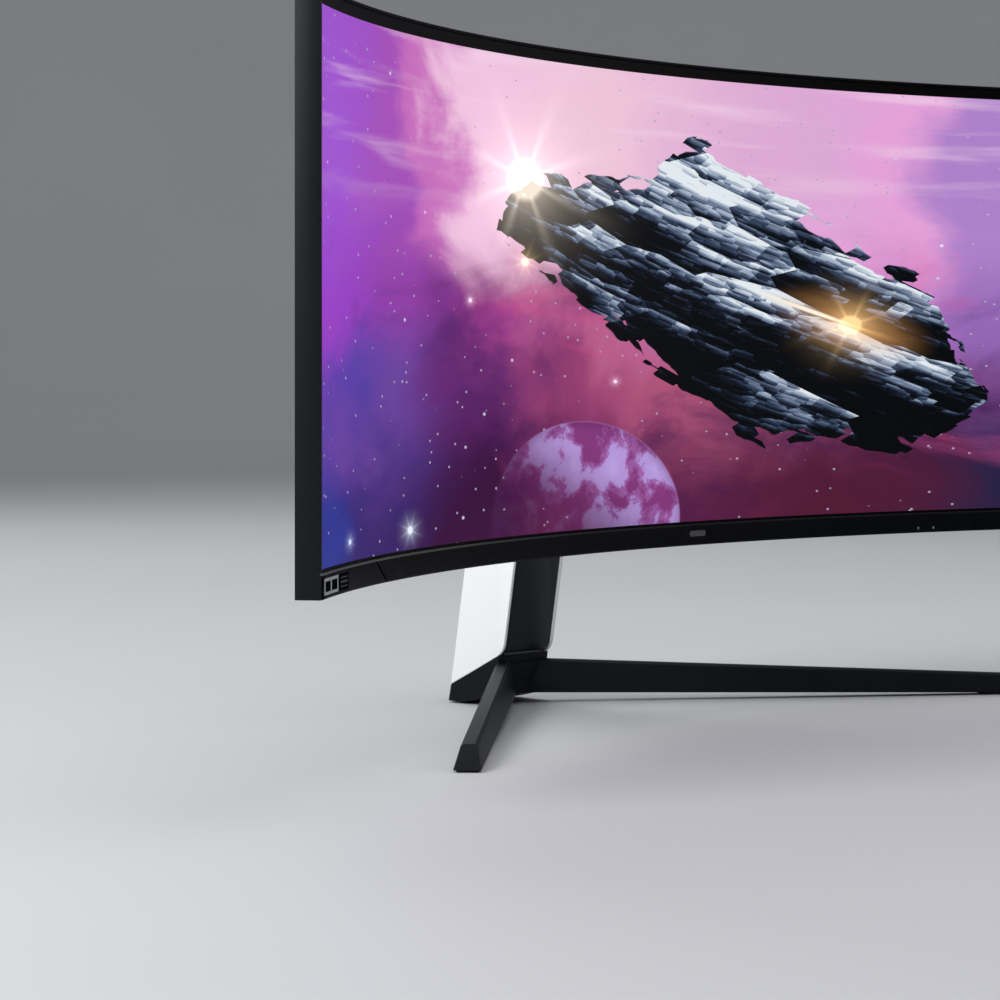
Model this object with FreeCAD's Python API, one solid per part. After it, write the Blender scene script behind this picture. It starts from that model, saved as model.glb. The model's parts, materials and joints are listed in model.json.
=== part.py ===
import FreeCAD, Part

import math
import os

# Curved ultra-wide desktop monitor on a height-adjustable stand with two splayed legs.
#
# Units are millimetres. +Z is up, +Y points away from the person who looks at the screen, and +X is
# to that person's right. The origin is on the desk, in the middle of the monitor's footprint.
# "Depth" is measured behind the screen's front surface, along a radius of its curve, and "arc" is
# measured along that surface from the middle, positive to the right.

V = FreeCAD.Vector

# ---------------------------------------------------------------- driving dimensions

# Screen and frame
R = 1000.0               # radius of the screen's curve
SCREEN_Y = -26.5         # y of the screen surface at its middle
LIT_HALF_ARC = 596.0     # half of the picture's width, along the arc
LIT_Z0 = 151.4           # bottom of the picture at rest
FRAME_Z0 = 133.4         # bottom of the chin at rest
FRAME_Z1 = 497.0         # top of the frame at rest
BORDER = 7.2             # between the picture and the frame's outer face, at each end
FRAME_HALF_ARC = LIT_HALF_ARC + BORDER
FRAME_DEPTH = 15.0       # thickness of the panel at its edge
FRAME_WALL = 2.2
LIP_PROUD = 1.0          # frame stands this far in front of the glass
CHIN_TOP = LIT_Z0 - 3.0
CHIN_PROUD = 2.0         # chin stands this far in front of the glass
CHIN_FLOOR = 2.4         # thickness of the chin's bottom wall
GLASS_THICK = 2.0
CHASSIS_DEPTH = 11.5     # rear face of the backlight chassis
CHIN_SPLIT_TOP = 472.0   # arc of the slanted joint in the chin, at its top
CHIN_SPLIT_BOTTOM = 450.0
CHIN_JOINT_GAP = 0.4
CHIN_GROOVE_HALF = 1.3   # shadow groove over that joint
CHIN_GROOVE_DEPTH = 1.1
FLANGE = 8.0             # width of the frame's rear flange
FLANGE_THICK = 2.0
SENSOR_Z = 142.2         # oval sensor window in the middle of the chin
SENSOR_HALF = 8.0
SENSOR_R = 2.2
LAMP_ARCS = (247.0, 263.0)
LAMP_Z = 137.2
MICROPHONE_ARC = 302.0
BADGE_ARCS = ((-600.0, -562.0), (-558.5, -536.5))
BADGE_Z = (136.0, 145.9)
BADGE_SEAT = 0.12        # depth of the badges' seat behind the chin's front

# Rear housing
WALL = 2.5
REAR_HALF_ARC = 595.0
REAR_EDGE_DEPTH = 15.5   # depth of the rear housing at its two ends
REAR_MID_DEPTH = 50.0    # depth in the middle
REAR_SPLIT_ARC = 262.0   # arc of the joints between the three rear covers
BEVEL_HEIGHT = 40.0      # height over which the housing's top and bottom slope
DOME_BACK_DEPTH = 76.0
DOME_BACK_R = 92.0
DOME_SLOPE = 1.0         # growth of the dome's radius per millimetre forwards
RECESS_R = 82.0
RECESS_FLOOR_DEPTH = 62.0
VESA = 100.0             # bolt spacing of the wall-mount pattern
SPLIT_GAP = 0.25         # half the joint between two rear covers
BOLT_HOLE_R = 2.6
VENT_ARCS = (-170.0, 170.0)
VENT_HALF = 70.0
VENT_Z = 474.0
VENT_SLOTS = 17
RING_R = (85.0, 89.5)    # groove of the light ring in the dome's rim

# Stand
LEAN = 9.24              # forward lean of the neck, degrees
NECK_FOOT_Y = 153.3      # y of the neck's front face, carried down to the desk
NECK_HALF_WIDTH = 29.25
NECK_DEPTH = 51.4
NECK_TOP_Z = 400.0
PLATE_THICK = 3.0        # white side plates of the neck
PLATE_PROUD = 0.8
PLATE_FOOT_R = 14.0      # rounding of the plates' lower front corner
COVER_THICK = 3.0
COVER_HALF = 25.9        # half width of the covers between the side plates
COLUMN_HALF = 21.0
COLUMN_WALL = 3.0
COLUMN_SLOT_HALF = 10.2  # slot that the carriage's nose slides in
COLUMN_BEHIND = (5.0, 45.0)
COLUMN_FOOT_Z = 12.2
COLUMN_TOP_Z = 389.0
HUB_SLOPE_FRONT_Z = 41.8  # height of the hub's sloping top at the neck's front
HUB_SLOPE_REAR = (202.6, 13.4)
HUB_REAR_Y = 203.6
HUB_LEDGE_Z = 32.5       # ledge in front of the neck, and its depth
HUB_LEDGE_DEPTH = 3.2
HUB_BASE_HALF = 34.0     # the hub's sides flare out towards the desk
HUB_FLARE_Z = 24.0
HUB_BELLY_Z = 8.5        # clearance under the hub's front edge
SOCKET_GAP = 0.2         # between the column's foot and the hub
CLAMP_SCREW_X = 12.0
CLAMP_SCREW_Y = 168.0
CLAMP_SCREW_R = 2.5
CLAMP_HEAD_R = 4.6
CLAMP_HEAD_Z = (5.6, 7.9)
CLAMP_SCREW_TOP_Z = 17.5
LEG_BOLT_R = 2.5
LEG_BOLT_Z = 17.0
LEG_ANGLE = 50.8         # each leg's angle from straight forwards, degrees
LEG_ROOT = (28.1, 146.6)
LEG_LENGTH = 395.1
LEG_TOP_ROOT = 34.0
LEG_TOP_TIP = 16.0
LEG_BASE_ROOT = 7.8
FOOT_THICK = 1.5
LEG_TOP_HALF = 5.4
LEG_BASE_HALF = 9.25
LEG_END_SLANT = 20.0
LEG_EDGE = 1.5
LEG_OVERLAP = 32.0       # length of the root that reaches towards the hub's inside

# Head joints, at rest
HEAD_Z = 315.2           # height of the tilt axis and the middle of the panel
SWIVEL_Y = 84.0
TILT_Y = 61.5
TILT_SHAFT_R = 5.0
RUNNING_GAP = 0.05
PLATE_Y0 = SCREEN_Y + RECESS_FLOOR_DEPTH
PLATE_Y1 = PLATE_Y0 + 3.0
BRACKET_HALF = 59.0
BRACKET_SCREW_R = 1.9
BRACKET_HEAD_R = 3.8
BRACKET_HEAD_THICK = 2.6
EAR_X = (21.0, 25.0)
EAR_R = 10.5
SHAFT_HALF = 30.0
SHAFT_HEAD_X = 26.4
SHAFT_HEAD_R = 8.0
WASHER_R = 9.0
WASHER_X = ((20.15, 20.85), (25.2, 26.2))
BARREL_R = 8.0
BARREL_HALF = 20.0
SHROUD_R = 41.0
SHROUD_WALL = 2.4
SHROUD_REACH = 27.0
BOSS_R = 9.5
BOSS_Z = (HEAD_Z - 15.0, HEAD_Z + 15.0)
BUSH_R = 5.6
PIN_R = 4.0
LUG_THICK = 5.5
LUG_GAP = 0.4
NOSE_HALF = 8.0
CARRIAGE_Z = (287.0, 343.0)
CARRIAGE_BEHIND = (13.0, 38.0)
CARRIAGE_HALF = 14.0
SHOE_HEIGHT = 16.0
SHOE_X = 17.7
COIL_R = 8.6
COIL_HALF = 8.5
COIL_BEHIND = 31.0
AXLE_R = 3.9
STRIP_HALF = 8.0
STRIP_BEHIND = (40.3, 40.8)
STRIP_TOP_Z = 383.0

# Port bay, beside and below the dome
BAY_X0 = 50.0
BAY_X1 = 192.0
BAY_Z1 = 200.0
BAY_FLOOR_Y = SCREEN_Y + 13.5
INLET_X = 76.0
INLET_Y = SCREEN_Y + 25.0
PORT_Y = SCREEN_Y + 22.5
PORT_WINDOW_X = (94.0, 188.0)
PORT_WINDOW_Y = (SCREEN_Y + 15.0, SCREEN_Y + 30.0)
INLET_WINDOW_X = (INLET_X - 14.5, INLET_X + 14.5)
INLET_WINDOW_Y = (SCREEN_Y + 15.0, SCREEN_Y + 36.0)
PORT_REACH = 2.2         # how far the sockets reach down through the bay's ceiling
HDMI_X = (103.0, 115.0)
HDMI_SIZE = (5.4, 14.0)
DISPLAYPORT_X = 127.0
DISPLAYPORT_SIZE = (5.6, 14.2)
USB_B_X = 142.0
USB_B_SIZE = (8.6, 9.0)
USB_A_X = (156.0, 166.0)
USB_A_SIZE = (5.8, 13.2)
AUDIO_X = 179.0
AUDIO_SIZE = (8.0, 8.0)
AUDIO_BORE_R = 1.8

# Joystick, under the rear housing
STICK_Y = SCREEN_Y + 23.0
STICK_Z = 157.0          # centre about which the joystick rocks
STICK_WELL_R = 8.5
STICK_FLOOR_Z = 150.0
STICK_CAP_R = 5.2
STICK_CAP_DROP = (17.0, 13.0)
STICK_STEM_R = 1.8
STICK_PIN_R = 0.9
STICK_RING_R = (3.0, 4.6)
STICK_CRADLE_R = (5.4, 7.2)

# Circuit boards. The parts on a board are given as (x, z, width, height, depth).
BOARD_THICK = 1.6
BOARD_Y = SCREEN_Y + 12.8        # main and power boards
THIN_BOARD_Y = SCREEN_Y + 14.2   # driver and timing boards, over the chassis
BOARD_X = (62.0, 194.0)
BOARD_TOP_Z = 300.0
MAIN_PARTS = ((110, 240, 30, 30, 4), (150, 250, 14, 14, 2), (80, 262, 18, 22, 3))
POWER_PARTS = ((-180, 220, 30, 40, 11), (-130, 215, 24, 30, 13), (-100, 250, 28, 26, 11))
DRIVER_HALF = 120.0
DRIVER_Z = (382.0, 430.0)
TIMING_HALF = 90.0
TIMING_Z = (440.0, 470.0)
SHIELD_X = (100.0, 170.0)
SHIELD_Y = (SCREEN_Y + 14.8, SCREEN_Y + 20.6)
SHIELD_Z = (232.0, 286.0)
CARRIER_R = 78.0
CARRIER_HOLE_R = 30.0
POST_R = 6.0

CURVE_Y = SCREEN_Y - R
LEAN_SLOPE = math.tan(math.radians(LEAN))
Z_AXIS = V(0, 0, 1)


# ---------------------------------------------------------------- helpers

def box(x, y, z):
    """Box between the two values given for each axis."""
    return Part.makeBox(x[1] - x[0], y[1] - y[0], z[1] - z[0], V(x[0], y[0], z[0]))


def rod(start, end, radius):
    """Round bar between two points."""
    axis = end - start
    return Part.makeCylinder(radius, axis.Length, start, axis)


def tube(start, end, outer, inner):
    return rod(start, end, outer).cut(rod(start, end, inner))


def closed_wire(points):
    return Part.makePolygon(points + [points[0]])


def prism(points, direction):
    """Solid made by moving a flat outline along a vector."""
    return Part.Face(closed_wire(points)).extrude(direction)


def side_prism(outline, x0, x1):
    """Solid between two x values, from an outline of (y, z) points."""
    return prism([V(x0, y, z) for y, z in outline], V(x1 - x0, 0, 0))


def arc_sweep(section, arc0, arc1):
    """Solid swept about the curve's axis from a section of (depth, z) points."""
    turn = math.degrees(arc1 / R)
    face = Part.Face(closed_wire([V(0, SCREEN_Y + depth, z) for depth, z in section]))
    face.rotate(V(0, CURVE_Y, 0), Z_AXIS, -turn)
    return face.revolve(V(0, CURVE_Y, 0), Z_AXIS, math.degrees((arc1 - arc0) / R))


def arc_slab(depth, arc, z):
    """Curved slab between the two values given for depth, arc and height."""
    section = [(depth[0], z[0]), (depth[1], z[0]), (depth[1], z[1]), (depth[0], z[1])]
    return arc_sweep(section, arc[0], arc[1])


def arc_point(depth, arc, z):
    angle = arc / R
    return V((R + depth) * math.sin(angle), CURVE_Y + (R + depth) * math.cos(angle), z)


def arc_rod(depth, arc, z, radius):
    """Round bar through the panel at one arc position, between two depths."""
    return rod(arc_point(depth[0], arc, z), arc_point(depth[1], arc, z), radius)


def neck_y(z):
    """y of the neck's front face at a height."""
    return NECK_FOOT_Y - z * LEAN_SLOPE


def neck_prism(x, behind, z):
    """Leaning bar. "behind" is measured back from the neck's front face."""
    low = neck_y(z[0])
    outline = [V(x[0], low + behind[0], z[0]), V(x[1], low + behind[0], z[0]),
               V(x[1], low + behind[1], z[0]), V(x[0], low + behind[1], z[0])]
    rise = z[1] - z[0]
    return prism(outline, V(0, -rise * LEAN_SLOPE, rise))


def mirrored(shape):
    return shape.mirror(V(0, 0, 0), V(1, 0, 0))


def group(shapes):
    return Part.makeCompound(shapes)


def fused(shapes):
    whole = shapes[0]
    for shape in shapes[1:]:
        whole = whole.fuse(shape)
    return whole.removeSplitter()


def plate_with_corners(half, corner, y0, y1, centre_z):
    """Square plate that faces +Y, with rounded corners."""
    flat = box((-half, half), (y0, y1), (centre_z - half, centre_z + half))
    edges = [e for e in flat.Edges if abs(e.tangentAt(0).y) > 0.9]
    return flat.makeFillet(corner, edges)


def square_of_four(spacing, centre_z):
    """The (x, z) places of four bolts on a square."""
    reach = spacing / 2
    return [(sx * reach, centre_z + sz * reach) for sx in (-1, 1) for sz in (-1, 1)]


# ---------------------------------------------------------------- display stack

def display_stack():
    glass_z = (LIT_Z0 - 6.0, FRAME_Z1 - FRAME_WALL - 0.2)
    glass_half = FRAME_HALF_ARC - FRAME_WALL - 0.2
    glass = arc_slab((0, GLASS_THICK), (-glass_half, glass_half), glass_z)

    tray_z = (glass_z[0] - 0.8, glass_z[1] - 0.6)
    tray_half = glass_half - 1.0
    tray = arc_slab((GLASS_THICK + 0.1, CHASSIS_DEPTH), (-tray_half, tray_half), tray_z)
    tray_wall = 1.2
    tray_floor = CHASSIS_DEPTH - tray_wall
    inner_z = (tray_z[0] + tray_wall, tray_z[1] - tray_wall)
    inner_half = tray_half - tray_wall
    tray = tray.cut(arc_slab((GLASS_THICK - 1, tray_floor), (-inner_half, inner_half), inner_z))

    gap = 0.4
    film_z = (inner_z[0] + gap, inner_z[1] - gap)
    film_arc = (-inner_half + gap, inner_half - gap)
    films = arc_slab((GLASS_THICK + 0.2, 4.0), film_arc, film_z)
    board = arc_slab((tray_floor - 1.8, tray_floor - 0.2), film_arc, film_z)
    spacer = arc_slab((4.1, tray_floor - 1.9), film_arc, film_z)
    spacer = spacer.cut(arc_slab((4.0, tray_floor), (-inner_half + 9, inner_half - 9),
                                 (film_z[0] + 9, film_z[1] - 9)))
    return {
        "lcd_panel": glass,
        "diffuser_films": films,
        "diffuser_spacer_frame": spacer,
        "backlight_board": board,
        "backlight_chassis": tray,
    }


# ---------------------------------------------------------------- frame and chin

def slanted_cut(shift):
    """Prism that cuts the chin along its slanted joint. shift moves the cut to the right."""
    def arc_x(arc):
        return R * math.sin(arc / R)
    top = arc_x(CHIN_SPLIT_TOP) + shift
    bottom = arc_x(CHIN_SPLIT_BOTTOM) + shift
    spare = 5.0
    lean = spare * (top - bottom) / (CHIN_TOP - FRAME_Z0)
    z0 = FRAME_Z0 - spare
    z1 = CHIN_TOP + spare
    outline = [V(bottom - lean, -400, z0), V(800, -400, z0), V(800, -400, z1), V(top + lean, -400, z1)]
    return prism(outline, V(0, 500, 0))


def frame_pieces():
    front = -LIP_PROUD
    wall_z = FRAME_Z1 - FRAME_WALL
    inner_arc = FRAME_HALF_ARC - FRAME_WALL
    top_section = [(front, wall_z), (FRAME_DEPTH, wall_z), (FRAME_DEPTH, FRAME_Z1 - 0.8),
                   (FRAME_DEPTH - 0.8, FRAME_Z1), (front + 0.6, FRAME_Z1), (front, FRAME_Z1 - 0.6)]
    top = arc_sweep(top_section, -FRAME_HALF_ARC, FRAME_HALF_ARC)
    flange_depth = (FRAME_DEPTH - FLANGE_THICK, FRAME_DEPTH)
    top_flange = arc_slab(flange_depth, (-inner_arc, inner_arc), (wall_z - FLANGE, wall_z))
    top = fused([top, top_flange])

    side = arc_slab((front, FRAME_DEPTH), (inner_arc, FRAME_HALF_ARC), (FRAME_Z0, wall_z))
    side_flange = arc_slab(flange_depth, (inner_arc - FLANGE, inner_arc),
                           (FRAME_Z0 + CHIN_FLOOR + 0.2, wall_z - FLANGE))
    right = fused([side, side_flange])

    back = -0.05
    floor_z = FRAME_Z0 + CHIN_FLOOR
    chin_section = [(-CHIN_PROUD + 0.5, CHIN_TOP), (back, CHIN_TOP), (back, floor_z),
                    (FRAME_DEPTH, floor_z), (FRAME_DEPTH, FRAME_Z0),
                    (-CHIN_PROUD + 0.8, FRAME_Z0), (-CHIN_PROUD - 0.4, FRAME_Z0 + 1.2),
                    (-CHIN_PROUD, CHIN_TOP - 0.5)]
    chin = arc_sweep(chin_section, -inner_arc, inner_arc)
    groove = slanted_cut(-CHIN_GROOVE_HALF).cut(slanted_cut(CHIN_GROOVE_HALF))
    groove_floor = arc_slab((-6.0, -CHIN_PROUD + CHIN_GROOVE_DEPTH), (0, inner_arc),
                            (FRAME_Z0 - 1, CHIN_TOP + 1))
    groove = groove.common(groove_floor)
    chin = chin.cut(groove).cut(mirrored(groove))
    corner_right = chin.common(slanted_cut(CHIN_JOINT_GAP / 2))
    middle_cut = slanted_cut(-CHIN_JOINT_GAP / 2)
    middle = chin.cut(middle_cut).cut(mirrored(middle_cut))

    # Oval sensor window, two status lenses and the microphone hole in the chin's front
    through = (-6.0, 1.0)
    pocket = fused([
        arc_rod(through, -SENSOR_HALF, SENSOR_Z, SENSOR_R),
        arc_rod(through, SENSOR_HALF, SENSOR_Z, SENSOR_R),
        arc_slab(through, (-SENSOR_HALF, SENSOR_HALF), (SENSOR_Z - SENSOR_R, SENSOR_Z + SENSOR_R)),
    ])
    lens_back = -0.2
    window = pocket.common(arc_slab((-CHIN_PROUD + 0.3, lens_back), (-40, 40), (FRAME_Z0, CHIN_TOP)))
    middle = middle.cut(pocket)
    lamps = []
    for arc in LAMP_ARCS:
        middle = middle.cut(arc_rod(through, arc, LAMP_Z, 1.3))
        lamps.append(arc_rod((-CHIN_PROUD + 0.1, lens_back), arc, LAMP_Z, 1.25))
    middle = middle.cut(arc_rod(through, MICROPHONE_ARC, LAMP_Z - 1.0, 0.7))

    # Two blank badge plates, seated in the left corner piece
    seat_depth = -CHIN_PROUD - BADGE_SEAT
    badges = [arc_slab((-CHIN_PROUD - 0.5, seat_depth), arcs, BADGE_Z) for arcs in BADGE_ARCS]
    seat = arc_slab((seat_depth - 2, seat_depth), (-inner_arc - 1, BADGE_ARCS[1][1] + 0.5),
                    (BADGE_Z[0] - 0.5, BADGE_Z[1] + 0.5))
    return {
        "frame_top": top,
        "frame_right": right,
        "frame_left": mirrored(right),
        "chin_bezel": middle,
        "chin_corner_right": corner_right,
        "chin_corner_left": mirrored(corner_right).cut(seat),
        "sensor_window": window,
        "status_lamp_lenses": group(lamps),
        "badge_plates": group(badges),
    }


# ---------------------------------------------------------------- rear housing

def housing_solid(inset, front_depth):
    """Rear housing as a full solid, moved inwards by inset on every outer side."""
    low = FRAME_Z0 + 0.4 + inset
    high = FRAME_Z1 - 0.4 - inset
    slope_end = REAR_MID_DEPTH + 20
    shoulder = FRAME_DEPTH + 2.5
    rise = BEVEL_HEIGHT / (REAR_MID_DEPTH - shoulder)
    slope = rise * (slope_end - shoulder)
    section = [(front_depth, low), (shoulder, low), (slope_end, low + slope),
               (slope_end, high - slope), (shoulder, high), (front_depth, high)]
    belt = arc_sweep(section, -REAR_HALF_ARC + inset, REAR_HALF_ARC - inset)
    end = arc_point(REAR_EDGE_DEPTH, REAR_HALF_ARC, 0)
    sagitta = SCREEN_Y + REAR_MID_DEPTH - end.y
    radius = (end.x ** 2 + sagitta ** 2) / (2 * sagitta)
    centre_y = SCREEN_Y + REAR_MID_DEPTH - radius
    drum = Part.makeCylinder(radius - inset, FRAME_Z1, V(0, centre_y, 0), Z_AXIS)
    return belt.common(drum)


def dome_solid(inset):
    """Round dome in the middle of the rear housing."""
    start = SCREEN_Y + 30.0
    back = SCREEN_Y + DOME_BACK_DEPTH - inset
    back_r = DOME_BACK_R - inset * 0.4
    front_r = back_r + (back - start) * DOME_SLOPE
    return Part.makeCone(front_r, back_r, back - start, V(0, start, HEAD_Z), V(0, 1, 0))


def y_rod(x, z, y0, y1, radius):
    return rod(V(x, y0, z), V(x, y1, z), radius)


def rear_covers():
    outer = housing_solid(0, FRAME_DEPTH).fuse(dome_solid(0))
    hollow = housing_solid(WALL, FRAME_DEPTH - 2).fuse(dome_solid(WALL))

    # What stays standing inside the hollow: the recess cup, the port bay and the joystick's well
    floor_y = SCREEN_Y + RECESS_FLOOR_DEPTH
    cup = y_rod(0, HEAD_Z, floor_y - WALL, floor_y + 40, RECESS_R + WALL)
    bay = box((BAY_X0 - WALL, BAY_X1 + WALL), (BAY_FLOOR_Y - WALL, 80), (100, BAY_Z1 + WALL))
    well_base = V(0, STICK_Y, 120)
    well = rod(well_base, V(0, STICK_Y, STICK_FLOOR_Z + WALL), STICK_WELL_R + WALL)
    hollow = hollow.cut(cup).cut(bay).cut(well)

    shell = outer.cut(hollow)
    shell = shell.cut(y_rod(0, HEAD_Z, floor_y, floor_y + 40, RECESS_R))
    shell = shell.cut(box((BAY_X0, BAY_X1), (BAY_FLOOR_Y, 80), (100, BAY_Z1)))
    shell = shell.cut(rod(well_base, V(0, STICK_Y, STICK_FLOOR_Z), STICK_WELL_R))
    shell = shell.cut(rod(well_base, V(0, STICK_Y, STICK_FLOOR_Z + 20), 4.0))
    shell = shell.cut(box(PORT_WINDOW_X, PORT_WINDOW_Y, (BAY_Z1 - 1, BAY_Z1 + 10)))
    shell = shell.cut(box(INLET_WINDOW_X, INLET_WINDOW_Y, (BAY_Z1 - 1, BAY_Z1 + 10)))
    for x, z in square_of_four(VESA, HEAD_Z):
        shell = shell.cut(y_rod(x, z, floor_y - 10, floor_y + 10, BOLT_HOLE_R))

    # Groove for the light ring in the dome's rim, and windows for the vent grilles
    back_y = SCREEN_Y + DOME_BACK_DEPTH
    shell = shell.cut(tube(V(0, back_y - 1.6, HEAD_Z), V(0, back_y + 5, HEAD_Z), RING_R[1], RING_R[0]))
    for arc in VENT_ARCS:
        shell = shell.cut(vent_window(arc, 0))

    def between(arc0, arc1):
        return shell.common(arc_slab((5, 120), (arc0, arc1), (0, 600)))

    side_end = REAR_HALF_ARC + 40
    middle = between(-REAR_SPLIT_ARC + SPLIT_GAP, REAR_SPLIT_ARC - SPLIT_GAP)
    right = between(REAR_SPLIT_ARC + SPLIT_GAP, side_end)
    left = between(-side_end, -REAR_SPLIT_ARC - SPLIT_GAP)
    ring = tube(V(0, back_y - 1.4, HEAD_Z), V(0, back_y, HEAD_Z), RING_R[1] - 0.2, RING_R[0] + 0.2)
    return {
        "rear_cover_centre": middle,
        "rear_cover_right": right,
        "rear_cover_left": left,
        "light_ring": ring,
        "vent_grilles": group([vent_grille(arc) for arc in VENT_ARCS]),
    }


def vent_window(arc, shrink):
    """Slab that passes through the housing's sloping top where a grille sits."""
    half = VENT_HALF - shrink
    return arc_slab((20, 45), (arc - half, arc + half), (VENT_Z - 6 + shrink, VENT_Z + 6 - shrink))


def vent_grille(arc):
    """Slotted strip that lies inside the housing's sloping top."""
    skin = housing_solid(0.6, FRAME_DEPTH).cut(housing_solid(WALL - 0.3, FRAME_DEPTH - 2))
    strip = skin.common(vent_window(arc, 0.3))
    pitch = 2 * VENT_HALF / VENT_SLOTS
    for i in range(VENT_SLOTS):
        middle = arc - VENT_HALF + (i + 0.5) * pitch
        slot = arc_slab((15, 50), (middle - pitch * 0.28, middle + pitch * 0.28),
                        (VENT_Z - 4.2, VENT_Z + 4.2))
        strip = strip.cut(slot)
    return strip


# ---------------------------------------------------------------- ports and boards

def port_box(x, size, z0, z1, grow=0.0):
    """Block round one socket. size is its width and length, and grow is added on every side."""
    half_w = size[0] / 2 + grow
    half_l = size[1] / 2 + grow
    return box((x - half_w, x + half_w), (PORT_Y - half_l, PORT_Y + half_l), (z0, z1))


def socket(x, size, tongue):
    """Downward socket: a metal shell round a flat tongue."""
    z0 = BAY_Z1 - PORT_REACH
    z1 = BAY_Z1 + 12.0
    body = port_box(x, size, z0, z1).cut(port_box(x, size, z0 - 1, z1 - 2.0, -0.4))
    blade = port_box(x, (tongue, size[1] - 4.0), z0 + 1.5, z1 - 1.0)
    return body.fuse(blade).removeSplitter()


def ports():
    hdmi = [socket(x, HDMI_SIZE, 1.4) for x in HDMI_X]
    display = socket(DISPLAYPORT_X, DISPLAYPORT_SIZE, 1.4)
    usb = [socket(x, USB_A_SIZE, 1.9) for x in USB_A_X] + [socket(USB_B_X, USB_B_SIZE, 3.0)]

    audio = port_box(AUDIO_X, AUDIO_SIZE, BAY_Z1 - PORT_REACH, BAY_Z1 + 14)
    audio = audio.cut(rod(V(AUDIO_X, PORT_Y, BAY_Z1 - 3), V(AUDIO_X, PORT_Y, BAY_Z1 + 12), AUDIO_BORE_R))

    # Mains inlet with its flange, cavity and three blades
    z0 = BAY_Z1 - 2.0
    depth = 19.0
    inlet = box((INLET_X - 13.5, INLET_X + 13.5), (INLET_Y - 9.6, INLET_Y + 9.6), (z0, z0 + depth))
    cavity = box((INLET_X - 12.2, INLET_X + 12.2), (INLET_Y - 8.2, INLET_Y + 8.2), (z0 - 1, z0 + 16))
    edges = [e for e in cavity.Edges
             if abs(e.tangentAt(0).z) > 0.9 and e.CenterOfMass.y < INLET_Y]
    inlet = inlet.cut(cavity.makeChamfer(4.0, edges))
    for dx, dy in ((-7.0, -1.5), (7.0, -1.5), (0.0, 2.5)):
        x = INLET_X + dx
        y = INLET_Y + dy
        inlet = inlet.fuse(box((x - 1, x + 1), (y - 2, y + 2), (z0 + 3, z0 + 17)))
    inlet = inlet.removeSplitter()

    # Steel plate over the ceiling of the bay, with one opening per socket
    plate = box((BAY_X0 + 0.5, BAY_X1 - 0.5), (BAY_FLOOR_Y + 0.5, SCREEN_Y + 29.5),
                (BAY_Z1 - 1.2, BAY_Z1 - 0.1))
    tab = box((BAY_X0 + 0.5, INLET_X + 20), (SCREEN_Y + 25, SCREEN_Y + 38),
              (BAY_Z1 - 1.2, BAY_Z1 - 0.1))
    plate = plate.fuse(tab).removeSplitter()
    openings = [(x, HDMI_SIZE) for x in HDMI_X] + [(x, USB_A_SIZE) for x in USB_A_X]
    openings += [(DISPLAYPORT_X, DISPLAYPORT_SIZE), (USB_B_X, USB_B_SIZE), (AUDIO_X, AUDIO_SIZE)]
    for x, size in openings:
        plate = plate.cut(port_box(x, size, BAY_Z1 - 5, BAY_Z1 + 5, 0.15))
    plate = plate.cut(box((INLET_X - 13.7, INLET_X + 13.7), (INLET_Y - 9.8, INLET_Y + 9.8),
                          (BAY_Z1 - 5, BAY_Z1 + 5)))
    return {
        "port_plate": plate,
        "hdmi_sockets": group(hdmi),
        "displayport_socket": display,
        "usb_sockets": group(usb),
        "audio_socket": audio,
        "power_inlet": inlet,
    }


def board_with_parts(x, z, y, parts):
    """Circuit board facing backwards, with block-shaped parts (x, z, width, height, depth)."""
    back = y + BOARD_THICK
    blocks = [box((px, px + width), (back, back + depth), (pz, pz + height))
              for px, pz, width, height, depth in parts]
    return fused([box(x, (y, back), z)] + blocks)


def boards():
    board_z = (BAY_Z1 + WALL + 1, BOARD_TOP_Z)
    main = board_with_parts(BOARD_X, board_z, BOARD_Y, MAIN_PARTS)
    power = board_with_parts((-BOARD_X[1], -BOARD_X[0]), board_z, BOARD_Y, POWER_PARTS)
    chips = [(-90 + 36 * i, DRIVER_Z[0] + 10, 18, 12, 5) for i in range(6)]
    driver = board_with_parts((-DRIVER_HALF, DRIVER_HALF), DRIVER_Z, THIN_BOARD_Y, chips)
    timing = board_with_parts((-TIMING_HALF, TIMING_HALF), TIMING_Z, THIN_BOARD_Y,
                              [(-20, TIMING_Z[0] + 6, 18, 18, 2)])
    wall = 1.0
    shield = box(SHIELD_X, SHIELD_Y, SHIELD_Z)
    shield = shield.cut(box((SHIELD_X[0] + wall, SHIELD_X[1] - wall),
                            (SHIELD_Y[0] - 1, SHIELD_Y[1] - wall), (0, FRAME_Z1)))

    # Steel frame that carries the bolt pattern, on four posts that stand on the chassis
    floor_y = SCREEN_Y + RECESS_FLOOR_DEPTH - WALL
    top_y = floor_y - 0.2
    carrier = y_rod(0, HEAD_Z, top_y - 2.4, top_y, CARRIER_R)
    carrier = carrier.cut(y_rod(0, HEAD_Z, floor_y - 5, floor_y + 1, CARRIER_HOLE_R))
    for x, z in square_of_four(VESA, HEAD_Z):
        carrier = carrier.fuse(y_rod(x, z, SCREEN_Y + CHASSIS_DEPTH + 0.1, top_y, POST_R))
    for x, z in square_of_four(VESA, HEAD_Z):
        carrier = carrier.cut(y_rod(x, z, floor_y - 14, floor_y + 1, BRACKET_SCREW_R + 0.1))
    return {
        "main_board": main,
        "power_board": power,
        "backlight_driver_board": driver,
        "timing_board": timing,
        "main_board_shield": shield,
        "mount_carrier": carrier.removeSplitter(),
    }


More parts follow.
